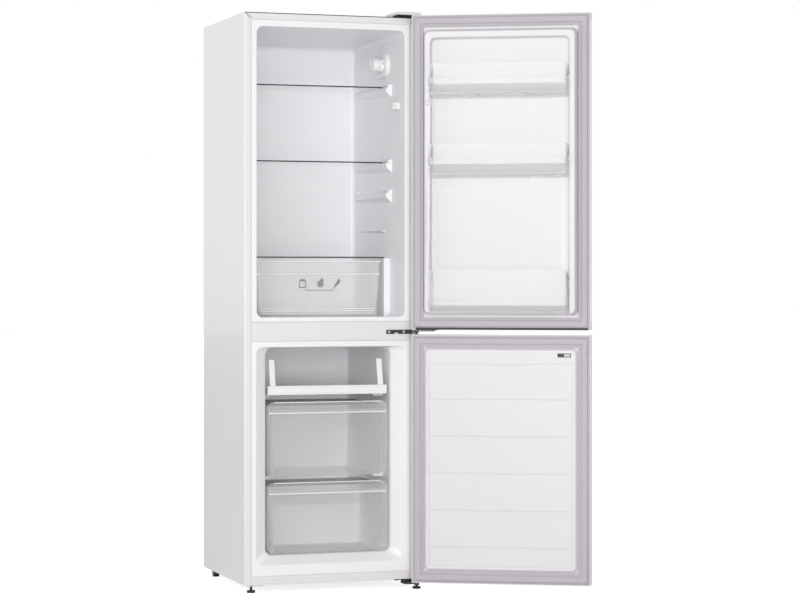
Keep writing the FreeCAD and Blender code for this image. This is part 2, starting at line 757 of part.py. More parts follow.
def freezer_liner():
    """The freezer's liner, with its bevelled mouth, front flange and drawer runners."""
    inner = freezer_form(0.0, -1.0)
    outer = freezer_form(LINER, 0.0)
    flange = box(
        (-OPEN_HALF + SEAM, OPEN_HALF - SEAM),
        (0.0, LINER),
        (RAIL_TOP + SEAM, MULLION_BOTTOM - SEAM),
    )
    shell = outer.fuse(flange).cut(inner)
    runners = [
        box(
            (RUNNER_HALF_GAP, HALF),
            (RUNNER_FRONT, RUNNER_BACK),
            (level - SEAT_GAP - RUNNER_HEIGHT, level - SEAT_GAP),
        ).common(outer)
        for level in RUNNER_LEVELS
    ]
    return fuse([shell] + runners + [mirrored(r) for r in runners])


# ---------------------------------------------------------------- cabinet shell


def side_panel_left():
    """The left side's sheet, with its front flange mitred at the top and its back flange."""
    side = box((-HALF, -HALF + STEEL), (0.0, CABINET_DEPTH), (SHELL_BOTTOM, SHELL_TOP))
    inner = -OPEN_HALF
    flange = prism(
        [(-HALF, SHELL_BOTTOM), (inner, SHELL_BOTTOM), (inner, SHELL_TOP - FRONT_FLANGE), (-HALF, SHELL_TOP)],
        "y",
        0.0,
        STEEL,
    )
    back = box(
        (-HALF, -HALF + BACK_FLANGE),
        (CABINET_DEPTH - 2 * STEEL, CABINET_DEPTH - STEEL),
        (BAY_TOP, SHELL_TOP - STEEL),
    )
    return fuse([side, flange, back])


def top_panel():
    """The top sheet, with its front flange mitred to the sides' flanges."""
    sheet = box(
        (-HALF + STEEL, HALF - STEEL),
        (0.0, CABINET_DEPTH - STEEL),
        (SHELL_TOP - STEEL, SHELL_TOP),
    )
    low = SHELL_TOP - FRONT_FLANGE
    edge = HALF - STEEL
    flange = prism(
        [(-edge, SHELL_TOP - STEEL), (-OPEN_HALF, low), (OPEN_HALF, low), (edge, SHELL_TOP - STEEL)],
        "y",
        0.0,
        STEEL,
    )
    return fuse([sheet, flange])


def back_panel():
    """The back sheet, from the compressor bay up to the top."""
    return box(
        (-HALF + STEEL, HALF - STEEL),
        (CABINET_DEPTH - STEEL, CABINET_DEPTH),
        (BAY_TOP, SHELL_TOP),
    )


def base_plate():
    """The folded sheet under the freezer, up the bay's front wall and over its top."""
    half = HALF - STEEL
    under = box((-half, half), (CROSSBAR_LIP, BAY_FRONT), (SHELL_BOTTOM, SHELL_BOTTOM + STEEL))
    riser = box((-half, half), (BAY_FRONT - STEEL, BAY_FRONT), (SHELL_BOTTOM, BAY_TOP))
    over = box((-half, half), (BAY_FRONT - STEEL, CABINET_DEPTH - 2 * STEEL), (BAY_TOP - STEEL, BAY_TOP))
    boss_low = SHELL_BOTTOM - 2 * BRACKET
    boss = rod((LEFT_FOOT_X, LEFT_FOOT_Y, boss_low), (0, 0, 1), 2 * BRACKET, FOOT_BOSS_RADIUS)
    pad = box(
        (LEFT_FOOT_X - FOOT_PAD_LEFT, LEFT_FOOT_X + FOOT_PAD_RIGHT),
        (LINER, LEFT_FOOT_Y + FOOT_PAD_BACK),
        (SHELL_BOTTOM - BRACKET, SHELL_BOTTOM),
    )
    body = fuse([under, riser, over, pad, boss])
    stem_hole = left_stem_room(FOOT_STEM_TOP_LEFT)
    drain_hole = rod((0, DRAIN_Y, 0), (0, 0, 1), SHELL_TOP, DRAIN_RADIUS)
    return cut(body, [stem_hole, drain_hole])


def left_stem_room(length):
    """The clearance hole for the left foot's stem."""
    return rod((LEFT_FOOT_X, LEFT_FOOT_Y, 0.0), (0, 0, 1), length, FOOT_STEM_RADIUS + PIN_FIT)


def channel(bottom, top):
    """A front crossbar: a white channel with two lips that reach back into the foam."""
    half = OPEN_HALF - SEAM
    web = box((-half, half), (0.0, LINER), (bottom, top))
    low = box((-half, half), (0.0, CROSSBAR_LIP), (bottom, bottom + STEEL))
    high = box((-half, half), (0.0, CROSSBAR_LIP), (top - STEEL, top))
    return fuse([web, low, high])


def mullion_plugs():
    """Plugs in the crossbar's spare hinge holes."""
    plugs = []
    for x in PLUG_PLACES:
        stem = rod((x, 0.0, PLUG_Z), (0, 1, 0), PLUG_REACH, PLUG_RADIUS)
        head = rod((x, -PLUG_HEAD, PLUG_Z), (0, 1, 0), PLUG_HEAD, PLUG_HEAD_RADIUS)
        plugs.append(fuse([stem, head]))
    return plugs


# ---------------------------------------------------------------- hinges


def screw(point, direction):
    """A hinge screw whose head sits on the surface at the point."""
    back = tuple(-d for d in direction)
    shank = rod(point, direction, SCREW_LENGTH, SCREW_RADIUS)
    head = rod(point, back, SCREW_HEAD, SCREW_HEAD_RADIUS)
    return fuse([shank, head])


def hinge_screw_points():
    """Every hinge screw as (point under its head, direction of its shank)."""
    middle_z = MIDDLE_ARM_Z + BRACKET / 2
    points = [((x, -BRACKET, middle_z), (0, 1, 0)) for x in MIDDLE_SCREWS]
    top_x = HINGE_X - TOP_PLATE_WIDTH / 2
    points += [((top_x + dx, y, SHELL_TOP + BRACKET), (0, 0, -1)) for dx, y in TOP_SCREWS]
    points += [((x, y, SHELL_BOTTOM - BRACKET), (0, 0, 1)) for x, y in BOTTOM_SCREWS]
    return points


def hinge_screws():
    """The screws of all three hinges."""
    return [screw(point, direction) for point, direction in hinge_screw_points()]


def screw_holes():
    """Holes for the shanks, a little wider than the screws."""
    holes = []
    for point, direction in hinge_screw_points():
        start = tuple(p - d for p, d in zip(point, direction))
        holes.append(rod(start, direction, SCREW_LENGTH + 1, SCREW_RADIUS + PIN_FIT))
    return holes


def rounded_arm(x, y, z, radius):
    """A flat hinge arm that ends in a round eye about the hinge line."""
    bar = box(x, y, z)
    eye = rod((HINGE_X, HINGE_Y, z[0]), (0, 0, 1), z[1] - z[0], radius)
    return fuse([bar, eye])


def top_hinge():
    """The plate on the cabinet's top, its raised arm over the door, and its pin."""
    right = HINGE_X + TOP_PLATE_PAST_PIN
    plate_z = (SHELL_TOP, SHELL_TOP + BRACKET)
    plate = box((right - TOP_PLATE_WIDTH, right), (BRACKET_FRONT, TOP_PLATE_DEPTH), plate_z)
    arm_low = UPPER_DOOR_TOP + TOP_ARM_CLEARANCE
    arm_x = (right - TOP_ARM_WIDTH, right)
    arm_back = BRACKET_FRONT + BRACKET
    riser = box(arm_x, (BRACKET_FRONT, arm_back), (SHELL_TOP, arm_low + BRACKET))
    arm = rounded_arm(arm_x, (HINGE_Y, arm_back), (arm_low, arm_low + BRACKET), TOP_EYE_RADIUS)
    pin = rod((HINGE_X, HINGE_Y, arm_low - PIN_REACH), (0, 0, 1), PIN_REACH + BRACKET, PIN_RADIUS)
    return cut(fuse([plate, riser, arm, pin]), screw_holes())


def top_hinge_cover():
    """The white cap over the top hinge."""
    right = HALF - COVER_SIDE_GAP
    left = HINGE_X - TOP_PLATE_WIDTH - COVER_MARGIN
    over_door = UPPER_DOOR_TOP + TOP_ARM_CLEARANCE
    ceiling = SHELL_TOP + COVER_HEIGHT
    side = [
        (COVER_NOSE, over_door),
        (COVER_NOSE, ceiling - COVER_CHAMFER),
        (COVER_NOSE + COVER_CHAMFER, ceiling),
        (COVER_BACK_TOP, ceiling),
        (COVER_BACK_FOOT, SHELL_TOP),
        (COVER_WALL, SHELL_TOP),
        (COVER_WALL, over_door),
    ]
    body = prism(side, "x", left, right)
    hollow = box(
        (left + COVER_WALL, right - COVER_WALL),
        (COVER_NOSE + COVER_WALL, COVER_BACK_TOP - 2 * COVER_WALL),
        (SHELL_TOP - 1, ceiling - COVER_WALL),
    )
    return cut(body, [hollow])


def middle_hinge():
    """The black bracket on the crossbar, its arm between the doors, and its pin both ways."""
    right = HINGE_X - MIDDLE_PLATE_FROM_PIN
    low = MIDDLE_ARM_Z + BRACKET / 2 - MIDDLE_PLATE_HEIGHT / 2
    plate = box((MIDDLE_PLATE_LEFT, right), (-BRACKET, 0.0), (low, low + MIDDLE_PLATE_HEIGHT))
    notch = box(MIDDLE_NOTCH, (-BRACKET, 0.0), (low, low + MIDDLE_NOTCH_HEIGHT))
    arm_z = (MIDDLE_ARM_Z, MIDDLE_ARM_Z + BRACKET)
    arm_x = (HINGE_X - MIDDLE_ARM_WIDTH, HINGE_X)
    arm = rounded_arm(arm_x, (HINGE_Y, -BRACKET), arm_z, MIDDLE_EYE_RADIUS)
    pin_low = LOWER_DOOR_TOP - PIN_REACH
    pin_high = UPPER_DOOR_BOTTOM + PIN_REACH
    pin = rod((HINGE_X, HINGE_Y, pin_low), (0, 0, 1), pin_high - pin_low, PIN_RADIUS)
    return cut(fuse([plate, arm, pin]), [notch] + screw_holes())


def bottom_hinge():
    """The black bracket under the cabinet that carries the lower door and the right foot."""
    arm_z = (BOTTOM_ARM_TOP - BRACKET, BOTTOM_ARM_TOP)
    arm_x = (BOTTOM_ARM_LEFT, HALF - BOTTOM_PLATE_SIDE_GAP)
    arm_back = BRACKET_FRONT + BRACKET
    plate_z = (SHELL_BOTTOM - BRACKET, SHELL_BOTTOM)
    plate = box((BOTTOM_PLATE_LEFT, arm_x[1]), (BRACKET_FRONT, BOTTOM_PLATE_DEPTH), plate_z)
    riser = box(arm_x, (BRACKET_FRONT, arm_back), (arm_z[0], plate_z[1]))
    arm = rounded_arm(arm_x, (HINGE_Y, arm_back), arm_z, FOOT_BOSS_RADIUS)
    boss = rod((HINGE_X, HINGE_Y, arm_z[0] - BRACKET), (0, 0, 1), BRACKET, FOOT_BOSS_RADIUS)
    pin_length = LOWER_DOOR_BOTTOM + PIN_REACH - arm_z[1]
    pin = rod((HINGE_X, HINGE_Y, arm_z[1]), (0, 0, 1), pin_length, PIN_RADIUS)
    stem_length = arm_z[1] - STEM_HEADROOM
    stem_hole = rod((HINGE_X, HINGE_Y, 0.0), (0, 0, 1), stem_length, FOOT_STEM_RADIUS + PIN_FIT)
    return cut(fuse([plate, riser, arm, boss, pin]), [stem_hole] + screw_holes())


def foot(x, y, stem_top):
    """A screw foot: a knurled disc on the floor and its threaded stem."""
    disc = rod((x, y, 0.0), (0, 0, 1), FOOT_HEIGHT, FOOT_RADIUS)
    notches = []
    for index in range(FOOT_NOTCHES):
        turn = 2 * math.pi * index / FOOT_NOTCHES
        edge = (x + FOOT_RADIUS * math.cos(turn), y + FOOT_RADIUS * math.sin(turn), FOOT_NOTCH_FROM)
        notches.append(rod(edge, (0, 0, 1), FOOT_HEIGHT, FOOT_NOTCH_RADIUS))
    stem = rod((x, y, 0.0), (0, 0, 1), stem_top, FOOT_STEM_RADIUS)
    return cut(disc, notches).fuse(stem)


# ---------------------------------------------------------------- doors


def ring(z, outer, inner, y):
    """A flat frame around a door face, between two insets from its edge."""
    outside = box((-HALF + outer, HALF - outer), y, (z[0] + outer, z[1] - outer))
    inside = box((-HALF + inner, HALF - inner), (y[0] - 1, y[1] + 1), (z[0] + inner, z[1] - inner))
    return outside.cut(inside)


def door_panel(z):
    """The steel front of a door, wrapped round both sides and turned in behind."""
    low = z[0] + CAP_HEIGHT
    high = z[1] - CAP_HEIGHT
    skin = DOOR_STEEL
    side = HALF - DOOR_LINER_RIM
    outside = box((-HALF, HALF), (DOOR_OUTER, DOOR_INNER), (low, high))
    inside = box((-HALF + skin, HALF - skin), (DOOR_OUTER + skin, DOOR_INNER - skin), (low, high))
    mouth = box((-side, side), (DOOR_INNER - 2 * skin, DOOR_INNER + 1), (low, high))
    return cut(outside, [inside, mouth])


def door_cap(z, side):
    """A moulded cap that closes the door's end, as a tray open towards the foam."""
    block = box((-HALF, HALF), (DOOR_OUTER, DOOR_INNER), z)
    skin = CAP_WALL
    hollow_z = (z[0] - 1, z[1] - skin) if side > 0 else (z[0] + skin, z[1] + 1)
    hollow = box((-HALF + skin, HALF - skin), (DOOR_OUTER + skin, DOOR_INNER - skin), hollow_z)
    return block.cut(hollow)


def grip_well(z_face, side):
    """The finger grip moulded in a cap: a pocket, and the block of plastic that forms it."""
    left = -HALF + GRIP_FROM_FREE_EDGE
    middle = (DOOR_OUTER + DOOR_INNER) / 2
    y = (middle - GRIP_WIDTH / 2, middle + GRIP_WIDTH / 2)
    deep = z_face - side * GRIP_DEPTH
    skin = GRIP_WALL
    pocket_z = tuple(sorted((z_face + side, deep)))
    block_z = tuple(sorted((z_face, deep - side * skin)))
    pocket = box((left, left + GRIP_LENGTH), y, pocket_z)
    block = box((left - skin, left + GRIP_LENGTH + skin), (y[0] - skin, y[1] + skin), block_z)
    return pocket, block


def bush(face, side):
    """A hinge bush let into a door's end, with its bore open to that end."""
    body = bush_seat(face, side)
    bore_length = PIN_REACH + BUSH_END_PLAY + 1
    bore = rod((HINGE_X, HINGE_Y, face + side), (0, 0, -side), bore_length, PIN_RADIUS + PIN_FIT)
    return body.cut(bore)


def bush_seat(face, side):
    """The round room in a door's end that its bush fills."""
    return rod((HINGE_X, HINGE_Y, face), (0, 0, -side), BUSH_LENGTH, BUSH_RADIUS)


def collar(low, high):
    """The washer under a door's lower bush, which rides on the hinge arm."""
    return tube((HINGE_X, HINGE_Y, low), (0, 0, 1), high - low, BUSH_RADIUS, PIN_RADIUS + PIN_FIT)


def gasket(z):
    """The magnetic seal: a base strip, a hollow-looking bulb and a thin inner flap."""
    base = ring(z, GASKET_OUTER, GASKET_INNER, (DOOR_INNER, DOOR_INNER + GASKET_BASE))
    bulb = ring(z, GASKET_BULB_OUTER, GASKET_BULB_INNER, (DOOR_INNER + GASKET_BASE, -GASKET_SQUEEZE_GAP))
    return fuse([base, bulb])


def upper_form(offset):
    """The volume under the upper door's liner: a raised border round a recessed field."""
    z = (UPPER_DOOR_BOTTOM, UPPER_DOOR_TOP)
    slope = DYKE_CREST_INSET - DYKE_INSET
    sections = []
    for lean, y in ((0.0, DOOR_INNER - DOOR_LINER), (slope, DOOR_INNER + DYKE_HEIGHT - offset)):
        half = HALF - DYKE_INSET - lean - offset
        low = z[0] + DYKE_BOTTOM_INSET + lean + offset
        high = z[1] - DYKE_TOP_INSET - lean - offset
        sections.append(((-half, half), (low, high), DYKE_CORNER, y))
    outside = loft(sections)
    gap = DYKE_HALF_GAP + offset
    pocket_z = (z[0], z[1] - DYKE_TOP_INSET - slope - DYKE_END_WIDTH + offset)
    pocket = loft(
        [
            ((-gap, gap), pocket_z, DYKE_CORNER, DOOR_INNER + FIELD_HEIGHT - offset),
            ((-gap, gap), pocket_z, DYKE_CORNER, DOOR_INNER + DYKE_HEIGHT + 1),
        ]
    )
    return outside.cut(pocket)


def lower_form(offset):
    """The volume under the lower door's liner: a low pad with a bowed step under its top band."""
    z = (LOWER_DOOR_BOTTOM, LOWER_DOOR_TOP)
    base = PAD_INSET + offset
    crest = PAD_CREST_INSET + offset
    low = DOOR_INNER - DOOR_LINER
    face = DOOR_INNER + PAD_HEIGHT - offset
    pad = loft(
        [
            ((-HALF + base, HALF - base), (z[0] + base, z[1] - base), PAD_CORNER, low),
            ((-HALF + crest, HALF - crest), (z[0] + crest, z[1] - crest), PAD_CORNER, face),
        ]
    )
    side = HALF - PAD_CREST_INSET - PAD_STEP_INSET + offset
    bottom = z[0] + PAD_CREST_INSET + PAD_STEP_INSET - offset
    top = z[1] - PAD_CREST_INSET - PAD_BAND + offset
    outline = [(-side, top), (-side, bottom), (side, bottom), (side, top)]
    corners = [Vector(x, face, height) for x, height in outline]
    arc = Part.Arc(corners[-1], Vector(0, face, top - PAD_BOW), corners[0]).toShape()
    lines = [Part.LineSegment(a, b).toShape() for a, b in zip(corners, corners[1:])]
    field = Part.Face(Part.Wire([arc] + lines)).extrude(Vector(0, -PAD_STEP, 0))
    return pad.cut(field)


def door_liner(z, form, extras):
    """A door's inner liner: a formed sheet with a flat rim that the seal sits on."""
    low = DOOR_INNER - DOOR_LINER
    sheet = form(0.0).cut(form(DOOR_LINER))
    below = box((-HALF, HALF), (DOOR_OUTER, low), z)
    rim = ring(z, DOOR_LINER_RIM, GASKET_INNER, (low, DOOR_INNER))
    side = HALF - GASKET_INNER
    face = box((-side, side), (low, DOOR_INNER), (z[0] + GASKET_INNER, z[1] - GASKET_INNER))
    skirt = face.cut(form(0.0).common(face))
    return fuse([sheet.cut(below), rim, skirt] + extras)


def rack_lugs():
    """Lugs on the raised border's inner walls that the racks hook over."""
    lugs = []
    y_low = DOOR_INNER + FIELD_HEIGHT + RACK_LUG_SETBACK
    for base, height in RACKS.values():
        top = base + height - RACK_LUG_DROP
        lug = box(
            (DYKE_HALF_GAP - RACK_LUG_PROUD, DYKE_HALF_GAP),
            (y_low, y_low + RACK_LUG_WIDTH),
            (top - RACK_LUG_HEIGHT, top),
        )
        lugs += [lug, mirrored(lug)]
    return lugs


def switch_bump():
    """The small boss on the hinge-side border that presses the lamp switch."""
    tip = SWITCH_FRONT - PLUNGER_PROUD - BUMP_GAP
    start = DOOR_INNER + DYKE_HEIGHT - DOOR_LINER / 2
    x = (PLUNGER_X - BUMP_HALF, PLUNGER_X + BUMP_HALF)
    return box(x, (start, tip), (SWITCH_Z - BUMP_HALF, SWITCH_Z + BUMP_HALF))


def lower_creases():
    """Shallow horizontal grooves across the lower door's liner."""
    face = DOOR_INNER + PAD_HEIGHT - PAD_STEP
    side = HALF - PAD_CREST_INSET - PAD_STEP_INSET
    half = PAD_CREASE_WIDTH / 2
    grooves = []
    for index in range(PAD_CREASES):
        z = PAD_CREASE_LOWEST_Z + index * PAD_CREASE_PITCH
        outline = [(face + 0.1, z - half), (face - PAD_CREASE_DEPTH, z), (face + 0.1, z + half)]
        grooves.append(prism(outline, "x", -side, side))
    return grooves


def rack(base, height):
    """An open-topped rack with a low back, a raked floor, a front band and side hooks."""
    y_back = DOOR_INNER + FIELD_HEIGHT + SEAT_GAP
    y_front = y_back + RACK_DEPTH
    half = RACK_HALF_WIDTH
    wall = RACK_WALL
    slope_top = 2 * RACK_BOTTOM_RAKE

    def profile(inset, low, front):
        bottom = base + low
        return [
            (y_back + inset, bottom),
            (front - RACK_BOTTOM_RAKE, bottom),
            (front, bottom + slope_top),
            (front, base + height),
            (y_back + inset, base + height),
        ]

    outside = prism(profile(0.0, 0.0, y_front), "x", -half, half)
    inside = prism(profile(wall, wall, y_front - wall), "x", -half + wall, half - wall)
    upper_back = box(
        (-half + wall, half - wall),
        (y_back - 1, y_back + wall + 1),
        (base + RACK_BACK_WALL, base + height + 1),
    )
    band = box(
        (-half, half),
        (y_front - wall / 2, y_front + RACK_BAND_PROUD),
        (base + slope_top, base + slope_top + RACK_BAND_HEIGHT),
    )
    lug_top = base + height - RACK_LUG_DROP
    hook = box(
        (half - wall / 2, DYKE_HALF_GAP - SEAT_GAP),
        (y_back + RACK_HOOK_MARGIN, y_back + RACK_LUG_WIDTH + 3 * RACK_HOOK_MARGIN),
        (lug_top + SEAT_GAP, lug_top + SEAT_GAP + RACK_HOOK_HEIGHT),
    )
    rim_z = (base + height - RACK_RIM_HEIGHT, base + height)
    rim = box((-half, half), (y_front - wall, y_front + RACK_BAND_PROUD), rim_z)
    body = cut(outside, [inside, upper_back])
    return fuse([body, band, rim, hook, mirrored(hook)])


def door(name, z, form, extras, grooves, lower_collar, grip_side):
    """Every piece of one door, drawn shut, as a dictionary of nodes."""
    panel = door_panel(z)
    liner = door_liner(z, form, extras)
    if grooves:
        liner = cut(liner, grooves)
    ends = ((z[0], -1), (z[1], 1))
    sleeves = [bush_seat(face, side) for face, side in ends]
    pocket, block = grip_well(z[0] if grip_side < 0 else z[1], grip_side)
    caps = []
    for face, side in ends:
        cap = door_cap(tuple(sorted((face, face - side * CAP_HEIGHT))), side)
        if side == grip_side:
            cap = cap.fuse(block)
        caps.append(cut(cap, [liner, pocket] + sleeves))
    under_liner = (DOOR_OUTER + DOOR_STEEL, DOOR_INNER - DOOR_LINER)
    slab = box((-HALF + DOOR_STEEL, HALF - DOOR_STEEL), under_liner, (z[0] + 1, z[1] - 1))
    raised = form(DOOR_LINER).cut(box((-HALF, HALF), (DOOR_OUTER, under_liner[1] - 1), z))
    core = cut(slab.fuse(raised), [panel, liner, pocket] + caps + sleeves)
    core = max(core.Solids, key=lambda solid: solid.Volume)
    lower_bush = bush(z[0], -1).fuse(collar(lower_collar + COLLAR_GAP, z[0]))
    return {
        name + "_panel": panel,
        name + "_caps": Part.makeCompound(caps),
        name + "_liner": liner,
        name + "_foam": core,
        name + "_gasket": gasket(z),
        name + "_bushes": Part.makeCompound([lower_bush, bush(z[1], 1)]),
    }


def stop_plate():
    """The grey plate under the upper door that limits how far it opens."""
    z = (UPPER_DOOR_BOTTOM - STOP_PLATE, UPPER_DOOR_BOTTOM)
    x = (HINGE_X - STOP_PLATE_LENGTH, HALF - STOP_PLATE_MARGIN)
    y = (DOOR_OUTER + 2 * STOP_PLATE_MARGIN, DOOR_INNER - STOP_PLATE_MARGIN)
    plate = box(x, y, z)
    hole = rod((HINGE_X, HINGE_Y, z[0] - 1), (0, 0, 1), STOP_PLATE + 2, BUSH_RADIUS + PIN_FIT)
    return plate.cut(hole)


# ---------------------------------------------------------------- fittings inside


def glass_shelf(level):
    """A bare glass shelf with clipped front corners."""
    half = SHELF_HALF_WIDTH
    clip = SHELF_CHAMFER
    outline = [
        (-half + clip, SHELF_FRONT),
        (half - clip, SHELF_FRONT),
        (half, SHELF_FRONT + clip),
        (half, SHELF_BACK),
        (-half, SHELF_BACK),
        (-half, SHELF_FRONT + clip),
    ]
    return prism(outline, "z", level, level + GLASS)


def crisper_cover():
    """The glass lid over the crisper."""
    half = COVER_HALF_WIDTH
    return box((-half, half), (COVER_FRONT, COVER_BACK), (COVER_Z, COVER_Z + GLASS))


def crisper():
    """The clear vegetable drawer: drafted walls, a rim and a grip ridge on its front."""
    low = FRIDGE_FLOOR + SEAT_GAP
    high = COVER_Z - CRISPER_GAP_TOP
    top = CRISPER_HALF_TOP
    bottom = CRISPER_HALF_BOTTOM
    rake = CRISPER_FRONT_RAKE

    def block(inset, floor, top_z):
        sections = []
        for half, z, lean in ((bottom, floor, rake), (top, top_z, 0.0)):
            x = (-half + inset, half - inset)
            y = (CRISPER_FRONT + lean + inset, CRISPER_BACK - inset)
            sections.append(flat_wire(x, y, CRISPER_CORNER - inset, z))
        return Part.makeLoft(sections, True, True)

    outside = block(0.0, low, high)
    inside = block(CRISPER_WALL, low + CRISPER_WALL, high + 1)
    rim_z = (high - CRISPER_RIM, high)
    rim_wire = flat_wire(
        (-top - CRISPER_RIM_PROUD, top + CRISPER_RIM_PROUD),
        (CRISPER_FRONT - CRISPER_RIM_PROUD, CRISPER_BACK + CRISPER_RIM_PROUD),
        CRISPER_CORNER,
        rim_z[0],
    )
    rim = Part.Face(rim_wire).extrude(Vector(0, 0, CRISPER_RIM))
    ridge_half = top - CRISPER_GRIP_INSET
    ridge_y = (CRISPER_FRONT - CRISPER_GRIP_HEIGHT, CRISPER_FRONT + CRISPER_GRIP_HEIGHT)
    ridge_z = high - CRISPER_GRIP_DROP
    ridge = box((-ridge_half, ridge_half), ridge_y, (ridge_z, ridge_z + CRISPER_GRIP_HEIGHT))
    return fuse([outside, rim, ridge]).cut(inside)


def freezer_drawer(base, height, length):
    """A clear freezer drawer: a wider front with a grip lip, and a drafted body behind it."""
    front_z = (base, base + height)
    half = DRAWER_FRONT_HALF
    outline = frame_wire((-half, half), front_z, DRAWER_FRONT_CORNER, DRAWER_FRONT)
    front = Part.Face(outline).extrude(Vector(0, DRAWER_FRONT_WALL, 0))
    start = DRAWER_FRONT + DRAWER_FRONT_WALL / 2
    end = DRAWER_FRONT + length
    body_top = front_z[1] - DRAWER_SIDE_DROP

    def block(inset, floor, top_z):
        sections = []
        for draft, z in ((DRAWER_DRAFT, floor), (0.0, top_z)):
            x = DRAWER_HALF_WIDTH - draft - inset
            y = (start + inset, end - draft - inset)
            sections.append(flat_wire((-x, x), y, DRAWER_CORNER - inset, z))
        return Part.makeLoft(sections, True, True)

    outside = block(0.0, base, body_top)
    inside = block(DRAWER_WALL, base + DRAWER_WALL, body_top + 1)
    lip_x = (-half + DRAWER_GRIP_INSET, half - DRAWER_GRIP_INSET)
    lip_front = DRAWER_FRONT - DRAWER_GRIP_PROUD
    lip_z = front_z[1] - DRAWER_GRIP_DROP
    lip_top = lip_z + DRAWER_GRIP_LIP
    lip = box(lip_x, (lip_front, DRAWER_FRONT + 1), (lip_z, lip_top))
    skirt = box(lip_x, (lip_front, lip_front + DRAWER_WALL), (lip_z - DRAWER_GRIP_SKIRT, lip_top))
    return fuse([front, outside.cut(inside), lip, skirt])


def freezer_tray():
    """The white top tray: a plate with rims, a deep front bar and two leaning arms."""
    half = TRAY_HALF_WIDTH
    bar_y = (TRAY_BAR_FRONT, TRAY_BAR_FRONT + TRAY_BAR_DEPTH)
    plate_y = (TRAY_BAR_FRONT + TRAY_GROOVE_DEPTH, TRAY_BACK)
    rim_z = (TRAY_Z, TRAY_Z + TRAY_RIM)
    plate = box((-half, half), plate_y, (TRAY_Z, TRAY_Z + TRAY_PLATE))
    side_rim = box((half - TRAY_WALL, half), plate_y, rim_z)
    back_rim = box((-half, half), (TRAY_BACK - TRAY_WALL, TRAY_BACK), rim_z)
    bar = box((-TRAY_BAR_HALF, TRAY_BAR_HALF), bar_y, (TRAY_Z, TRAY_Z + TRAY_BAR_HEIGHT))
    groove_half = TRAY_BAR_HALF - TRAY_GROOVE_MARGIN
    groove = box(
        (-groove_half, groove_half),
        (TRAY_BAR_FRONT - 1, TRAY_BAR_FRONT + TRAY_GROOVE_DEPTH),
        (TRAY_Z + TRAY_GROOVE_MARGIN, TRAY_Z + TRAY_BAR_HEIGHT - TRAY_GROOVE_MARGIN),
    )
    foot_z = TRAY_Z + TRAY_BAR_HEIGHT - TRAY_ARM_DEPTH
    start = TRAY_BAR_FRONT + TRAY_ARM_SETBACK
    arm = prism(
        [
            (start, foot_z),
            (start + TRAY_ARM_FOOT, foot_z),
            (start + TRAY_ARM_LEAN + TRAY_ARM_DEPTH, TRAY_ARM_TOP),
            (start + TRAY_ARM_LEAN, TRAY_ARM_TOP),
        ],
        "x",
        TRAY_ARM_OUTER - TRAY_ARM_WIDTH,
        TRAY_ARM_OUTER,
    )
    return fuse([plate, bar.cut(groove), arm, mirrored(arm), side_rim, mirrored(side_rim), back_rim])


# ---------------------------------------------------------------- controls


def control_pieces():
    """The thermostat's housing, knob and lamp lens on the right wall."""
    room = fridge_form(0.0, -1.0)
    y = (CONTROL_Y - CONTROL_HALF_HEIGHT, CONTROL_Y - CONTROL_HALF_HEIGHT + CONTROL_LENGTH)
    z = (CONTROL_Z - CONTROL_HALF_HEIGHT, CONTROL_Z + CONTROL_HALF_HEIGHT)
    wall = CONTROL_WALL
    outside = stadium(y, z, (CONTROL_FACE_X, HALF)).common(room)
    hollow = stadium((y[0] + wall, y[1] - wall), (z[0] + wall, z[1] - wall), (CONTROL_FACE_X + wall, HALF))
    spindle_start = (CONTROL_FACE_X - 1, CONTROL_Y, CONTROL_Z)
    spindle_hole = rod(spindle_start, (1, 0, 0), wall + 2, SPINDLE_RADIUS + PIN_FIT)
    lens_y = (LENS_FRONT, y[1] - 2 * wall)
    lens_z = (CONTROL_Z - LENS_HALF_HEIGHT, CONTROL_Z + LENS_HALF_HEIGHT)
    lens = stadium(lens_y, lens_z, (CONTROL_FACE_X - LENS_PROUD, CONTROL_FACE_X + wall))
    housing = cut(outside, [hollow, spindle_hole, lens])
    knob_face = CONTROL_FACE_X - SEAT_GAP
    disc = rod((knob_face - KNOB_HEIGHT, CONTROL_Y, CONTROL_Z), (1, 0, 0), KNOB_HEIGHT, KNOB_RADIUS)
    grip_half = KNOB_RADIUS - KNOB_GRIP_INSET
    grip = box(
        (knob_face - KNOB_HEIGHT - KNOB_GRIP_PROUD, knob_face - KNOB_HEIGHT + 1),
        (CONTROL_Y - KNOB_GRIP_HALF, CONTROL_Y + KNOB_GRIP_HALF),
        (CONTROL_Z - grip_half, CONTROL_Z + grip_half),
    )
    spindle = rod((knob_face - 1, CONTROL_Y, CONTROL_Z), (1, 0, 0), SPINDLE_LENGTH, SPINDLE_RADIUS)
    return {
        "thermostat_housing": housing,
        "thermostat_knob": fuse([disc, grip, spindle]),
        "lamp_lens": lens,
    }


def switch_pieces():
    """The lamp switch's body on the right wall and its plunger."""
    room = fridge_form(0.0, -1.0)
    block = box(
        (SWITCH_INNER_X, HALF),
        (SWITCH_FRONT, SWITCH_FRONT + SWITCH_DEPTH),
        (SWITCH_Z - SWITCH_HEIGHT / 2, SWITCH_Z + SWITCH_HEIGHT / 2),
    ).common(room)
    tip = (PLUNGER_X, SWITCH_FRONT - PLUNGER_PROUD, SWITCH_Z)
    room_length = PLUNGER_PROUD + SWITCH_DEPTH - SWITCH_FLOOR
    hole = rod(tip, (0, 1, 0), room_length, PLUNGER_RADIUS + PIN_FIT)
    plunger = rod(tip, (0, 1, 0), room_length - PLUNGER_TRAVEL - SWITCH_FLOOR, PLUNGER_RADIUS)
    return {"door_switch_body": block.cut(hole), "door_switch_plunger": plunger}


# ---------------------------------------------------------------- cooling circuit


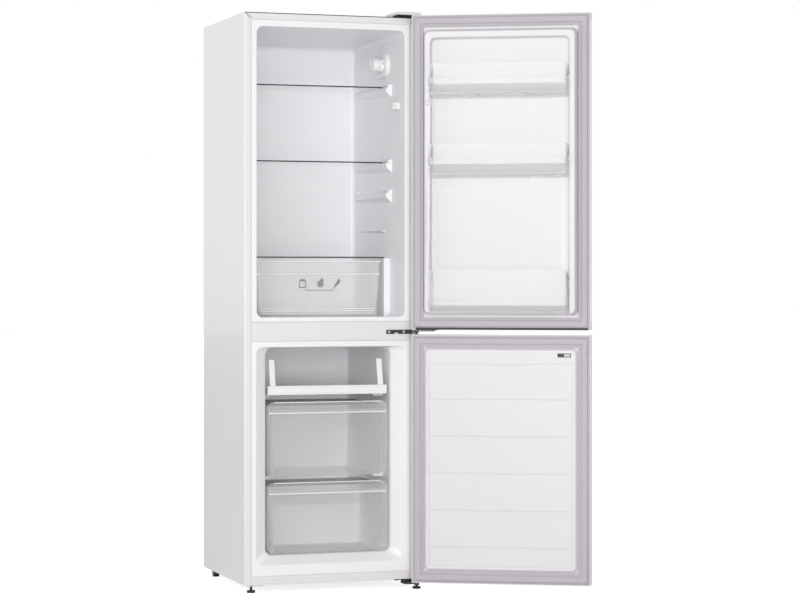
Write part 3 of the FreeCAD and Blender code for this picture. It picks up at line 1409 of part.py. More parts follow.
def compressor_base():
    """The plate across the bay, with the cheeks and axles that hold the rear rollers."""
    half = HALF - STEEL - 1
    front = BAY_FRONT + BAY_PLATE_SETBACK
    back = CABINET_DEPTH - BAY_PLATE_INSET
    thick = BAY_PLATE
    plate = box((-half, half), (front, back), (BAY_PLATE_Z, BAY_PLATE_Z + thick))
    lips = [
        box((-half, half), y, (BAY_PLATE_Z, BAY_PLATE_Z + BAY_PLATE_LIP))
        for y in ((front, front + thick), (back - thick, back))
    ]
    cheeks = []
    axles = []
    cheek_low = ROLLER_RADIUS - AXLE_RADIUS - thick
    inner = ROLLER_WIDTH / 2 + ROLLER_SIDE_GAP
    for centre in (-ROLLER_X, ROLLER_X):
        for side in (-1, 1):
            span = tuple(sorted((centre + side * inner, centre + side * (inner + thick))))
            y = (ROLLER_Y - CHEEK_HALF, ROLLER_Y + CHEEK_HALF)
            cheeks.append(box(span, y, (cheek_low, BAY_PLATE_Z + 1)))
        start = (centre - inner - thick, ROLLER_Y, ROLLER_RADIUS)
        axles.append(rod(start, (1, 0, 0), 2 * (inner + thick), AXLE_RADIUS))
    return fuse([plate] + lips + cheeks + axles)


def roller(centre):
    """A rear roller on its axle."""
    start = (centre - ROLLER_WIDTH / 2, ROLLER_Y, ROLLER_RADIUS)
    return tube(start, (1, 0, 0), ROLLER_WIDTH, ROLLER_RADIUS, AXLE_RADIUS + PIN_FIT)


def grommet_points():
    """Where the compressor's four grommets stand."""
    return [
        (COMPRESSOR_X + sx * GROMMET_SPACING_X / 2, COMPRESSOR_Y + sy * GROMMET_SPACING_Y / 2)
        for sx in (-1, 1)
        for sy in (-1, 1)
    ]


def compressor():
    """The compressor's domed steel shell on its foot plate."""
    can = rod((COMPRESSOR_X, COMPRESSOR_Y, MOTOR_Z), (0, 0, 1), COMPRESSOR_HEIGHT, COMPRESSOR_RADIUS)
    rims = [edge for edge in can.Edges if isinstance(edge.Curve, Part.Circle)]
    can = can.makeFillet(COMPRESSOR_SHOULDER, rims)
    seam_low = MOTOR_Z + COMPRESSOR_HEIGHT / 2
    seam_axis = (COMPRESSOR_X, COMPRESSOR_Y, seam_low)
    seam = rod(seam_axis, (0, 0, 1), COMPRESSOR_SEAM, COMPRESSOR_RADIUS + COMPRESSOR_SEAM_PROUD)
    reach_x = GROMMET_SPACING_X / 2 + GROMMET_RADIUS + COMPRESSOR_FOOT
    reach_y = GROMMET_SPACING_Y / 2 + GROMMET_RADIUS + COMPRESSOR_FOOT
    plate = box(
        (COMPRESSOR_X - reach_x, COMPRESSOR_X + reach_x),
        (COMPRESSOR_Y - reach_y, COMPRESSOR_Y + reach_y),
        (MOTOR_FOOT_Z, MOTOR_Z),
    )
    return fuse([can, seam, plate])


def grommets():
    """Four rubber grommets under the compressor's foot plate."""
    return [rod((x, y, GROMMET_Z), (0, 0, 1), GROMMET_HEIGHT, GROMMET_RADIUS) for x, y in grommet_points()]


def terminal_box():
    """The relay box on the compressor's side, with the bare gland where a supply lead enters."""
    low = MOTOR_Z + RELAY_LIFT
    left = COMPRESSOR_X - COMPRESSOR_RADIUS - RELAY_REACH
    y = (COMPRESSOR_Y - RELAY_HALF, COMPRESSOR_Y + RELAY_HALF)
    block = box((left, COMPRESSOR_X), y, (low, low + RELAY_HEIGHT))
    gland_start = (left + GLAND_INSET, y[1] - 1, low + GLAND_INSET)
    gland = tube(gland_start, (0, 1, 0), GLAND_LENGTH, GLAND_RADIUS, GLAND_BORE)
    body_radius = COMPRESSOR_RADIUS + COMPRESSOR_SEAM_PROUD + SEAT_GAP
    keep_out = rod((COMPRESSOR_X, COMPRESSOR_Y, 0), (0, 0, 1), SHELL_TOP, body_radius)
    return fuse([block, gland]).cut(keep_out)


def evaporation_tray():
    """The drip tray clipped on top of the compressor."""
    low = MOTOR_Z + COMPRESSOR_HEIGHT + TRAY_GAP
    x = (COMPRESSOR_X - DRIP_TRAY_LEFT, COMPRESSOR_X + DRIP_TRAY_RIGHT)
    y = (COMPRESSOR_Y - DRIP_TRAY_FRONT, COMPRESSOR_Y + DRIP_TRAY_BACK)
    wall = DRIP_TRAY_WALL
    block = box(x, y, (low, low + DRIP_TRAY_HEIGHT))
    inner_x = (x[0] + wall, x[1] - wall)
    inner_y = (y[0] + wall, y[1] - wall)
    return block.cut(box(inner_x, inner_y, (low + wall, low + DRIP_TRAY_HEIGHT + 1)))


def condenser_path():
    """The condenser's serpentine, from its top inlet down to its outlet in the bay."""
    half = CONDENSER_HALF_WIDTH
    points = [(half, CONDENSER_Y, CONDENSER_TOP)]
    for index in range(CONDENSER_PASSES):
        z = CONDENSER_TOP - CONDENSER_PITCH * index
        side = 1 if index % 2 == 0 else -1
        if index:
            points.append((side * half, CONDENSER_Y, z))
        points.append((-side * half, CONDENSER_Y, z))
    return points


def condenser_wires():
    """Upright wires on both sides of the condenser's tube."""
    low = CONDENSER_BOTTOM - WIRE_OVERHANG
    length = CONDENSER_TOP + WIRE_OVERHANG - low
    half = CONDENSER_HALF_WIDTH - CLIP_INSET - CLIP_HALF - WIRE_MARGIN
    gap = TUBE_RADIUS + WIRE_RADIUS
    wires = []
    for index in range(WIRE_COUNT):
        x = -half + 2 * half * index / (WIRE_COUNT - 1)
        for side in (-1, 1):
            wires.append(rod((x, CONDENSER_Y + side * gap, low), (0, 0, 1), length, WIRE_RADIUS))
    return wires


def condenser_clips():
    """Four blocks that hold the condenser off the back panel."""
    clips = []
    for x in (-CONDENSER_HALF_WIDTH + CLIP_INSET, CONDENSER_HALF_WIDTH - CLIP_INSET):
        for z in (CONDENSER_BOTTOM, CONDENSER_TOP):
            span = (x - CLIP_HALF, x + CLIP_HALF)
            clip = box(span, (CABINET_DEPTH, CONDENSER_Y), (z - CLIP_HALF_HEIGHT, z + CLIP_HALF_HEIGHT))
            seat = rod((span[0] - 1, CONDENSER_Y, z), (1, 0, 0), 2 * CLIP_HALF + 2, TUBE_RADIUS)
            clips.append(clip.cut(seat))
    return clips


def fridge_evaporator():
    """The cold plate bonded behind the fridge liner, with its raised channel."""
    back = FRIDGE_DEPTH + LINER
    half = EVAPORATOR_HALF_WIDTH
    plate = box((-half, half), (back, back + EVAPORATOR_PLATE), (EVAPORATOR_BOTTOM, EVAPORATOR_TOP))
    channel_half = half - CHANNEL_MARGIN
    y = (back + EVAPORATOR_PLATE / 2, back + EVAPORATOR_PLATE + CHANNEL_PROUD)
    pitch = (EVAPORATOR_TOP - EVAPORATOR_BOTTOM) / CHANNEL_ROWS
    levels = [EVAPORATOR_BOTTOM + pitch * (index + 0.5) for index in range(CHANNEL_ROWS)]
    rows = [
        box((-channel_half, channel_half), y, (z - CHANNEL_WIDTH / 2, z + CHANNEL_WIDTH / 2)) for z in levels
    ]
    header = box((channel_half - CHANNEL_WIDTH, channel_half), y, (levels[0], levels[-1]))
    return fuse([plate, header] + rows)


def freezer_coils():
    """Cooling tube wound round the freezer liner in the foam, one bend per level."""
    gap = LINER + COIL_RADIUS + COIL_GAP
    front = FREEZER_HALF_FRONT + gap
    back = FREEZER_HALF_BACK + gap + COIL_BACK_ROOM
    y_front = FREEZER_BEVEL_DEPTH + COIL_SETBACK
    y_back = FREEZER_DEPTH + gap
    low = STEP_TOP + COIL_RISE
    pitch = (FREEZER_CEILING - COIL_DROP - low) / (COIL_LEVELS - 1)
    coils = []
    for index in range(COIL_LEVELS):
        z = low + pitch * index
        points = [(-front, y_front, z), (-back, y_back, z), (back, y_back, z), (front, y_front, z)]
        coils.append(route(points, COIL_RADIUS, COIL_BEND))
    return coils


def drain_tube():
    """The defrost drain, from under the fridge's floor down to the evaporation tray."""
    top = FRIDGE_FLOOR - 2 * LINER
    low = MOTOR_Z + COMPRESSOR_HEIGHT + TRAY_GAP + DRIP_TRAY_HEIGHT - DRAIN_DIP
    return tube((0, DRAIN_Y, low), (0, 0, 1), top - low, DRAIN_RADIUS, DRAIN_RADIUS - DRAIN_WALL)


def refrigerant_pipes():
    """The bay's copper pipes: delivery to the condenser, and suction from the foam."""
    left = COMPRESSOR_X + COMPRESSOR_RADIUS
    x_out = CONDENSER_HALF_WIDTH + PIPE_SIDE
    riser_x = left + DELIVERY_STUB
    low = MOTOR_Z + DELIVERY_LIFT
    y_turn = COMPRESSOR_Y + DELIVERY_SIDESTEP
    delivery = route(
        [
            (left, COMPRESSOR_Y, low),
            (riser_x, COMPRESSOR_Y, low),
            (riser_x, y_turn, low),
            (x_out, y_turn, low),
            (x_out, CONDENSER_Y, low),
            (x_out, CONDENSER_Y, CONDENSER_TOP),
            (CONDENSER_HALF_WIDTH, CONDENSER_Y, CONDENSER_TOP),
        ],
        TUBE_RADIUS,
        PIPE_BEND,
    )
    y_suction = COMPRESSOR_Y - SUCTION_SIDESTEP
    high = MOTOR_Z + SUCTION_LIFT
    suction = route(
        [
            (left, y_suction, high),
            (left + SUCTION_STUB, y_suction, high),
            (left + SUCTION_STUB, y_suction, BAY_TOP - STEEL - SEAT_GAP),
        ],
        TUBE_RADIUS,
        PIPE_BEND,
    )
    keep_out = compressor()
    return [delivery.cut(keep_out), suction.cut(keep_out)]


def filter_drier():
    """The copper drier in the bay, on the condenser's outlet."""
    end_x = -CONDENSER_HALF_WIDTH if CONDENSER_PASSES % 2 else CONDENSER_HALF_WIDTH
    x = end_x - PIPE_SIDE
    y = CONDENSER_Y - DRIER_INBOARD
    top = DRIER_BOTTOM + DRIER_LENGTH
    turn_z = top + DRIER_LENGTH / 2
    link = route(
        [
            (end_x, CONDENSER_Y, CONDENSER_BOTTOM),
            (x, CONDENSER_Y, CONDENSER_BOTTOM),
            (x, CONDENSER_Y, turn_z),
            (x, y, turn_z),
            (x, y, top),
        ],
        TUBE_RADIUS,
        PIPE_BEND,
    )
    body = rod((x, y, DRIER_BOTTOM), (0, 0, 1), DRIER_LENGTH, DRIER_RADIUS)
    tail_z = DRIER_BOTTOM - CAPILLARY_DROP
    tail_points = [(x, y, DRIER_BOTTOM), (x, y, tail_z), (x + CAPILLARY_LENGTH, y, tail_z)]
    tail = route(tail_points, CAPILLARY_RADIUS, PIPE_BEND)
    return fuse([link, body, tail])


# ---------------------------------------------------------------- assembly


def cabinet_foam(made):
    """The foam between shell and liners, with room for all that is buried in it."""
    block = box(
        (-HALF + STEEL, HALF - STEEL),
        (LINER, CABINET_DEPTH - STEEL),
        (SHELL_BOTTOM + STEEL, SHELL_TOP - STEEL),
    )
    bay = box((-HALF, HALF), (BAY_FRONT - STEEL, CABINET_DEPTH), (0.0, BAY_TOP))
    drain = rod((0, DRAIN_Y, 0), (0, 0, 1), FRIDGE_FLOOR - 2 * LINER, DRAIN_RADIUS)
    core = cut(block, [bay, fridge_form(LINER, 0.0), freezer_form(LINER, 0.0), drain])
    return cut(core, made)


def build():
    """Make every node and write it."""
    nodes = {}
    nodes["side_panel_left"] = side_panel_left()
    nodes["side_panel_right"] = mirrored(side_panel_left())
    nodes["top_panel"] = top_panel()
    nodes["back_panel"] = back_panel()
    nodes["base_plate"] = base_plate()
    nodes["fridge_liner"] = fridge_liner()
    nodes["freezer_liner"] = freezer_liner()

    screws = hinge_screws()
    plugs = mullion_plugs()
    nodes["mullion_bar"] = cut(channel(MULLION_BOTTOM, MULLION_TOP), screws + plugs)
    nodes["mullion_plugs"] = Part.makeCompound(plugs)
    nodes["bottom_front_rail"] = channel(SHELL_BOTTOM, RAIL_TOP - SEAM)
    nodes["top_panel"] = cut(nodes["top_panel"], screws)
    nodes["base_plate"] = cut(nodes["base_plate"], screws)
    nodes["bottom_front_rail"] = cut(nodes["bottom_front_rail"], screws)
    nodes["top_hinge"] = top_hinge()
    nodes["top_hinge_cover"] = top_hinge_cover()
    nodes["middle_hinge"] = middle_hinge()
    nodes["bottom_hinge"] = bottom_hinge()
    nodes["hinge_screws"] = Part.makeCompound(screws)

    nodes["fridge_evaporator"] = fridge_evaporator()
    coils = freezer_coils()
    nodes["freezer_evaporator"] = Part.makeCompound(coils)
    nodes["drain_tube"] = drain_tube()
    sheets = ["side_panel_left", "side_panel_right", "top_panel", "base_plate"]
    bars = ["mullion_bar", "bottom_front_rail"]
    buried = [nodes[name] for name in sheets + bars + ["fridge_evaporator"]]
    stem = left_stem_room(FOOT_STEM_TOP_LEFT + 1)
    nodes["cabinet_foam"] = cabinet_foam(buried + coils + screws + plugs + [stem])

    nodes["foot_left"] = foot(LEFT_FOOT_X, LEFT_FOOT_Y, FOOT_STEM_TOP_LEFT - STEM_HEADROOM)
    nodes["foot_right"] = foot(HINGE_X, HINGE_Y, BOTTOM_ARM_TOP - 2 * STEM_HEADROOM)
    nodes["roller_left"] = roller(-ROLLER_X)
    nodes["roller_right"] = roller(ROLLER_X)

    nodes["compressor_base"] = compressor_base()
    nodes["compressor"] = compressor()
    nodes["compressor_grommets"] = Part.makeCompound(grommets())
    nodes["terminal_box"] = terminal_box()
    nodes["evaporation_tray"] = evaporation_tray()
    nodes["condenser_tube"] = route(condenser_path(), TUBE_RADIUS, CONDENSER_BEND)
    nodes["condenser_wires"] = Part.makeCompound(condenser_wires())
    nodes["condenser_clips"] = Part.makeCompound(condenser_clips())
    nodes["refrigerant_pipes"] = Part.makeCompound(refrigerant_pipes() + [filter_drier()])

    nodes.update(control_pieces())
    nodes.update(switch_pieces())

    nodes["glass_shelf_upper"] = glass_shelf(SHELF_UPPER_Z)
    nodes["glass_shelf_middle"] = glass_shelf(SHELF_MIDDLE_Z)
    nodes["crisper_cover"] = crisper_cover()
    nodes["crisper"] = crisper()
    nodes["freezer_tray"] = freezer_tray()
    nodes["freezer_drawer_upper"] = freezer_drawer(UPPER_DRAWER_Z, UPPER_DRAWER_HEIGHT, UPPER_DRAWER_LENGTH)
    nodes["freezer_drawer_lower"] = freezer_drawer(LOWER_DRAWER_Z, LOWER_DRAWER_HEIGHT, LOWER_DRAWER_LENGTH)

    upper = door(
        "upper_door",
        (UPPER_DOOR_BOTTOM, UPPER_DOOR_TOP),
        upper_form,
        rack_lugs() + [switch_bump()],
        [],
        MIDDLE_ARM_Z + BRACKET,
        -1,
    )
    upper["upper_door_stop"] = stop_plate()
    for name, (base, height) in RACKS.items():
        upper[name] = rack(base, height)
    lower = door(
        "lower_door",
        (LOWER_DOOR_BOTTOM, LOWER_DOOR_TOP),
        lower_form,
        [],
        lower_creases(),
        BOTTOM_ARM_TOP,
        1,
    )
    for pieces in (upper, lower):
        for name, shape in pieces.items():
            nodes[name] = opened(shape)

    for name, shape in sorted(nodes.items()):
        save(name, shape)
        sound = all(solid.isValid() for solid in shape.Solids)
        print("%-22s %3d solids, valid %s, %.0f mm3" % (name, len(shape.Solids), sound, shape.Volume))
    print(len(nodes), "nodes")


build()
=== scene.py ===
import bpy
import bmesh
import json
import math
from mathutils import Matrix, Vector


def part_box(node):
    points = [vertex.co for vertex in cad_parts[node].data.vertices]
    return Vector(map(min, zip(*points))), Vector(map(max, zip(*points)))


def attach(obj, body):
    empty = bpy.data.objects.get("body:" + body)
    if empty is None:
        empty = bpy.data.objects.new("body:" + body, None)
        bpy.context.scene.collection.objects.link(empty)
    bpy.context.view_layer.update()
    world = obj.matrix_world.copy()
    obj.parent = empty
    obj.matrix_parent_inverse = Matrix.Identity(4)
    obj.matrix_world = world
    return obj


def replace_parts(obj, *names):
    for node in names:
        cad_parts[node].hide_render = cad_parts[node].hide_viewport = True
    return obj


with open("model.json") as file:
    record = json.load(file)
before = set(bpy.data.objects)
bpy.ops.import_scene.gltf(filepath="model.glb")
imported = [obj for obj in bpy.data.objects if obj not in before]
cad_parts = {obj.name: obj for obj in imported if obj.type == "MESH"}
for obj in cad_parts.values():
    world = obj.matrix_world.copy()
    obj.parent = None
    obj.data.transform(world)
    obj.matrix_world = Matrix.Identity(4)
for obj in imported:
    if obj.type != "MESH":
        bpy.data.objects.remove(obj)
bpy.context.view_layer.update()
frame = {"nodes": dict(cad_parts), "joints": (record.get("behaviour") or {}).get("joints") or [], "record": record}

# ---------------------------------------------------------------- sizes shared by several pieces, in metres

BODY_OF = {node: body for body, nodes in frame["record"]["behaviour"]["bodies"].items() for node in nodes}
JOINTS = {joint["name"]: joint for joint in frame["joints"]}

# The doors are drawn shut in their own plane and turned open about the hinge line.
HINGE = Vector(JOINTS["upper_door_swing"]["pos_m"])
OPEN_ANGLE = -math.radians(JOINTS["upper_door_swing"]["range_deg"][0])
HINGE_LINE = Matrix.Translation((HINGE.x, HINGE.y, 0.0))
OPENED = HINGE_LINE @ Matrix.Rotation(OPEN_ANGLE, 4, "Z") @ HINGE_LINE.inverted()

HALF = 0.275
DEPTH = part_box("side_panel_left")[1].y
SHELL_BOTTOM, SHELL_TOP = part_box("side_panel_left")[0].z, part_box("side_panel_left")[1].z
FLANGE = 0.0215
SHEET = 0.0008
BEND = 0.0035

DOOR_INNER = -0.012
DOOR_OUTER = -0.055
DOOR_BEND = 0.004
UPPER_DOOR = (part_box("upper_door_caps")[0].z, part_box("upper_door_caps")[1].z)
LOWER_DOOR = (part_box("lower_door_caps")[0].z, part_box("lower_door_caps")[1].z)
FIELD_Y = -0.004
PAD_Y = -0.002

NEAR = 0.0004
MERGE = 0.000002


# ---------------------------------------------------------------- materials

TONE_SCALE, TONE_DETAIL = 6.0, 3.0
GRAIN_DETAIL, GRAIN_ROUGHNESS, GRAIN_STRENGTH = 2.0, 0.55, 0.6
SPANGLE_SCALE = 90.0
SPANGLE_TONES = ((0.44, 0.45, 0.47), (0.62, 0.63, 0.65))
SPANGLE_ROUGHNESS = (0.3, 0.5)
SPANGLE_METALLIC = 0.85
EDGE_BLEND = 0.3
SHADOW_LOST = 0.93
CLEAR_SCALE, CLEAR_DARKER = 9.0, 0.97
RIPPLE_SCALE, RIPPLE_STRENGTH = 40.0, 0.4


def new_material(name):
    """An empty node material: the material, its tree, its shader and object coordinates."""
    made = bpy.data.materials.new(name)
    made.use_nodes = True
    tree = made.node_tree
    shader = tree.nodes["Principled BSDF"]
    place = tree.nodes.new("ShaderNodeTexCoord")
    return made, tree, shader, place.outputs["Object"]


def noise(tree, place, scale, detail=2.0, roughness=0.5):
    """A noise texture's value in object space."""
    texture = tree.nodes.new("ShaderNodeTexNoise")
    texture.inputs["Scale"].default_value = scale
    texture.inputs["Detail"].default_value = detail
    texture.inputs["Roughness"].default_value = roughness
    tree.links.new(place, texture.inputs["Vector"])
    return texture.outputs["Fac"]


def spread(tree, value, low, high):
    """A value in 0..1 spread between two numbers."""
    node = tree.nodes.new("ShaderNodeMapRange")
    node.inputs["To Min"].default_value = low
    node.inputs["To Max"].default_value = high
    tree.links.new(value, node.inputs["Value"])
    return node.outputs["Result"]


def computed(tree, operation, value, *numbers):
    """A value changed by arithmetic: the node, with its first input linked and the rest set."""
    node = tree.nodes.new("ShaderNodeMath")
    node.operation = operation
    tree.links.new(value, node.inputs[0])
    for index, number in enumerate(numbers, start=1):
        node.inputs[index].default_value = number
    return node


def tinted(tree, shader, value, dark, light):
    """Base colour that wanders between two close tones."""
    mix = tree.nodes.new("ShaderNodeMix")
    mix.data_type = "RGBA"
    mix.inputs["A"].default_value = (*dark, 1.0)
    mix.inputs["B"].default_value = (*light, 1.0)
    tree.links.new(value, mix.inputs["Factor"])
    tree.links.new(mix.outputs["Result"], shader.inputs["Base Color"])


def bumped(tree, shader, value, strength, distance):
    """Surface relief of a real height, in metres."""
    bump = tree.nodes.new("ShaderNodeBump")
    bump.inputs["Strength"].default_value = strength
    bump.inputs["Distance"].default_value = distance
    tree.links.new(value, bump.inputs["Height"])
    tree.links.new(bump.outputs["Normal"], shader.inputs["Normal"])


def surface(name, tone, wander, rough, grain, relief, metallic=0.0, coat=0.0):
    """A solid finish: a tone that wanders a little, uneven gloss and a fine grain."""
    made, tree, shader, place = new_material(name)
    slow = noise(tree, place, TONE_SCALE, TONE_DETAIL)
    light = tuple(min(1.0, channel * (1 + wander)) for channel in tone)
    dark = tuple(channel * (1 - wander) for channel in tone)
    tinted(tree, shader, slow, dark, light)
    tree.links.new(spread(tree, slow, *rough), shader.inputs["Roughness"])
    fine = noise(tree, place, grain, GRAIN_DETAIL, GRAIN_ROUGHNESS)
    bumped(tree, shader, fine, GRAIN_STRENGTH, relief)
    shader.inputs["Metallic"].default_value = metallic
    shader.inputs["Coat Weight"].default_value = coat
    return made


def spangled(name):
    """Galvanised sheet: a mosaic of zinc crystals that take the light differently."""
    made, tree, shader, place = new_material(name)
    cells = tree.nodes.new("ShaderNodeTexVoronoi")
    cells.inputs["Scale"].default_value = SPANGLE_SCALE
    tree.links.new(place, cells.inputs["Vector"])
    grey = tree.nodes.new("ShaderNodeSeparateColor")
    tree.links.new(cells.outputs["Color"], grey.inputs["Color"])
    tinted(tree, shader, grey.outputs["Red"], *SPANGLE_TONES)
    tree.links.new(spread(tree, grey.outputs["Green"], *SPANGLE_ROUGHNESS), shader.inputs["Roughness"])
    shader.inputs["Metallic"].default_value = SPANGLE_METALLIC
    return made


def clear(name, tone, faced, edged, rough, relief):
    """Clear moulding: thin where it is seen square on, milky along its face, with hardly any shadow."""
    made, tree, shader, place = new_material(name)
    facing = tree.nodes.new("ShaderNodeLayerWeight")
    facing.inputs["Blend"].default_value = EDGE_BLEND
    path = tree.nodes.new("ShaderNodeLightPath")
    shade = computed(tree, "MULTIPLY_ADD", path.outputs["Is Shadow Ray"], -SHADOW_LOST, 1.0)
    alpha = computed(tree, "MULTIPLY", spread(tree, facing.outputs["Facing"], faced, edged))
    tree.links.new(shade.outputs[0], alpha.inputs[1])
    tree.links.new(alpha.outputs[0], shader.inputs["Alpha"])
    slow = noise(tree, place, CLEAR_SCALE)
    tinted(tree, shader, slow, tuple(channel * CLEAR_DARKER for channel in tone), tone)
    tree.links.new(spread(tree, slow, rough * 0.8, rough * 1.3), shader.inputs["Roughness"])
    bumped(tree, shader, noise(tree, place, RIPPLE_SCALE), RIPPLE_STRENGTH, relief)
    return made


# Tone, its wander, roughness from and to, grain, relief, and where they aren't 0 metallic and coat.
SOLID = {
    "shell_white": ((0.80, 0.782, 0.80), 0.012, (0.26, 0.34), 160.0, 0.000004, 0.0, 0.25),
    "cap_white": ((0.80, 0.785, 0.80), 0.012, (0.38, 0.5), 1600.0, 0.00003),
    # One white plastic in two copies: the cabinet liners' is painted lighter to lift the shade inside the cabinet,
    # and the door liners' is painted darker because more light falls on the doors.
    "liner_white": ((0.905, 0.895, 0.915), 0.01, (0.25, 0.38), 30.0, 0.00012),
    "door_liner_painted_darker": ((0.755, 0.74, 0.76), 0.01, (0.25, 0.38), 30.0, 0.00012),
    "inner_white": ((0.88, 0.875, 0.885), 0.01, (0.28, 0.4), 1200.0, 0.00002),
    # The creases' finish is a little darker than the door liner: painted shade in the creases.
    "crease_painted_shade": ((0.72, 0.705, 0.725), 0.01, (0.3, 0.4), 200.0, 0.00001),
    "seal_grey": ((0.485, 0.46, 0.49), 0.03, (0.42, 0.55), 800.0, 0.00003),
    "seal_shade": ((0.40, 0.38, 0.405), 0.03, (0.5, 0.6), 800.0, 0.00003),
    "bush_grey": ((0.30, 0.30, 0.31), 0.04, (0.45, 0.6), 900.0, 0.00003),
    "hinge_black": ((0.022, 0.022, 0.025), 0.1, (0.35, 0.5), 700.0, 0.00005),
    "black_plastic": ((0.025, 0.025, 0.028), 0.1, (0.45, 0.6), 900.0, 0.00004),
    "black_enamel": ((0.02, 0.02, 0.022), 0.1, (0.25, 0.4), 600.0, 0.00003, 0.0, 0.3),
    "screw_steel": ((0.66, 0.66, 0.68), 0.04, (0.3, 0.42), 500.0, 0.00002, 1.0),
    "aluminium": ((0.7, 0.7, 0.72), 0.05, (0.3, 0.45), 400.0, 0.00002, 1.0),
    "copper": ((0.70, 0.38, 0.24), 0.08, (0.25, 0.45), 300.0, 0.00002, 1.0),
    "foam": ((0.80, 0.74, 0.55), 0.06, (0.8, 0.95), 300.0, 0.0002),
    "glass_edge": ((0.018, 0.024, 0.026), 0.1, (0.1, 0.2), 400.0, 0.00001),
    "ink_grey": ((0.13, 0.13, 0.14), 0.03, (0.5, 0.6), 800.0, 0.00001),
    "plate_dark": ((0.012, 0.012, 0.014), 0.05, (0.2, 0.3), 800.0, 0.00001, 0.0, 0.5),
    "plate_pale": ((0.62, 0.62, 0.64), 0.03, (0.2, 0.3), 800.0, 0.00001, 0.0, 0.5),
}
# Tone, opacity seen square on and along the face, roughness and relief.
SEEN_THROUGH = {
    "clear_plastic": ((0.93, 0.925, 0.94), 0.10, 0.42, 0.14, 0.0003),
    "frosted_plastic": ((0.86, 0.85, 0.87), 0.20, 0.50, 0.2, 0.0003),
    "crisper_plastic": ((0.95, 0.945, 0.96), 0.30, 0.55, 0.16, 0.0002),
    "band_plastic": ((0.80, 0.79, 0.81), 0.25, 0.45, 0.25, 0.0001),
    # The beads' finish is nearly opaque and whiter than the clear plastics: painted highlight lines on the beads.
    "bead_painted_highlight": ((0.97, 0.965, 0.98), 0.75, 0.95, 0.12, 0.00005),
    "rack_white": ((0.90, 0.89, 0.90), 0.62, 0.85, 0.25, 0.0002),
    "shelf_glass": ((0.90, 0.94, 0.93), 0.03, 0.28, 0.05, 0.00005),
    "lens_clear": ((0.92, 0.92, 0.90), 0.45, 0.8, 0.15, 0.0003),
}
FINISH = {"galvanised": spangled("galvanised")}
FINISH.update({name: surface(name, *values) for name, values in SOLID.items()})
FINISH.update({name: clear(name, *values) for name, values in SEEN_THROUGH.items()})


# ---------------------------------------------------------------- mesh helpers

SMOOTH_ANGLE = 40.0
FLAT_ANGLE = 0.6
CORNER_ANGLE = 38.0


def piece(name, bm, body, finish, turned=False):
    """A new object from a bmesh that rides on a body, turned open with a door if asked.

    It is smooth except over its sharp edges.
    """
    if turned:
        bm.transform(OPENED)
    mesh = bpy.data.meshes.new(name)
    bmesh.ops.recalc_face_normals(bm, faces=bm.faces)
    bm.to_mesh(mesh)
    bm.free()
    for polygon in mesh.polygons:
        polygon.use_smooth = True
    mesh.set_sharp_from_angle(angle=math.radians(SMOOTH_ANGLE))
    made = bpy.data.objects.new(name, mesh)
    bpy.context.scene.collection.objects.link(made)
    mesh.materials.append(FINISH[finish])
    weighted = made.modifiers.new("weighted", "WEIGHTED_NORMAL")
    weighted.keep_sharp = True
    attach(made, body)
    return made


def replacement(node, bm, finish, turned=False):
    """A piece from a bmesh that stands for a CAD node and rides on its body."""
    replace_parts(piece(node + "_look", bm, BODY_OF[node], finish, turned), node)


def bevelled(bm, edges, width, segments):
    """Edges of a bmesh rounded over."""
    bmesh.ops.bevel(
        bm, geom=list(edges), offset=width, segments=segments, affect="EDGES", profile=0.5
    )


def sharp_edges(bm, angle=30.0):
    """Edges whose faces meet at more than the angle."""
    least = math.radians(angle)
    return [edge for edge in bm.edges if len(edge.link_faces) == 2 and edge.calc_face_angle() > least]


def on_plane(axis, value, within=NEAR):
    """A test of an edge: whether both its ends lie on a plane across the axis."""
    return lambda edge: all(abs(vert.co[axis] - value) < within for vert in edge.verts)


def softened(node, finish, width, rounds=(), segments=2, shut=False, moved=None):
    """A CAD node with its corners broken: chosen rounds first, then every sharp edge.

    Each round is a test of an edge, a width and a number of segments. A door's node is
    turned shut first, so that its tests read plain coordinates. A function given as moved
    takes each corner before the rounds and says how far it shifts.
    """
    bm = bmesh.new()
    bm.from_mesh(frame["nodes"][node].data)
    if shut:
        bm.transform(OPENED.inverted())
    bmesh.ops.remove_doubles(bm, verts=bm.verts, dist=MERGE)
    bmesh.ops.dissolve_limit(bm, angle_limit=math.radians(FLAT_ANGLE), verts=bm.verts, edges=bm.edges)
    if moved:
        for vert in bm.verts:
            vert.co += Vector(moved(vert.co))
    for test, round_width, round_segments in rounds:
        bevelled(bm, [edge for edge in sharp_edges(bm) if test(edge)], round_width, round_segments)
    if width:
        bevelled(bm, sharp_edges(bm, CORNER_ANGLE), width, segments)
    replacement(node, bm, finish, turned=shut)


def add_box(bm, low, high):
    """A block added to a bmesh; returns its vertices."""
    corners = [(x, y, z) for x in (low[0], high[0]) for y in (low[1], high[1]) for z in (low[2], high[2])]
    verts = [bm.verts.new(corner) for corner in corners]
    for face in ((0, 1, 3, 2), (4, 6, 7, 5), (0, 4, 5, 1), (2, 3, 7, 6), (0, 2, 6, 4), (1, 5, 7, 3)):
        bm.faces.new([verts[index] for index in face])
    return verts


def arc_points(centre, radius, start, end, steps=6):
    """Points on an arc, with angles in degrees."""
    turns = [math.radians(start + (end - start) * index / steps) for index in range(steps + 1)]
    return [(centre[0] + radius * math.cos(turn), centre[1] + radius * math.sin(turn)) for turn in turns]


def rounded_outline(x, z, radius, steps=6):
    """A rectangle with round corners, counter-clockwise."""
    points = []
    for right, top, start in ((1, 0, -90), (1, 1, 0), (0, 1, 90), (0, 0, 180)):
        centre = (x[1] - radius if right else x[0] + radius, z[1] - radius if top else z[0] + radius)
        points += arc_points(centre, radius, start, start + 90, steps)
    return points


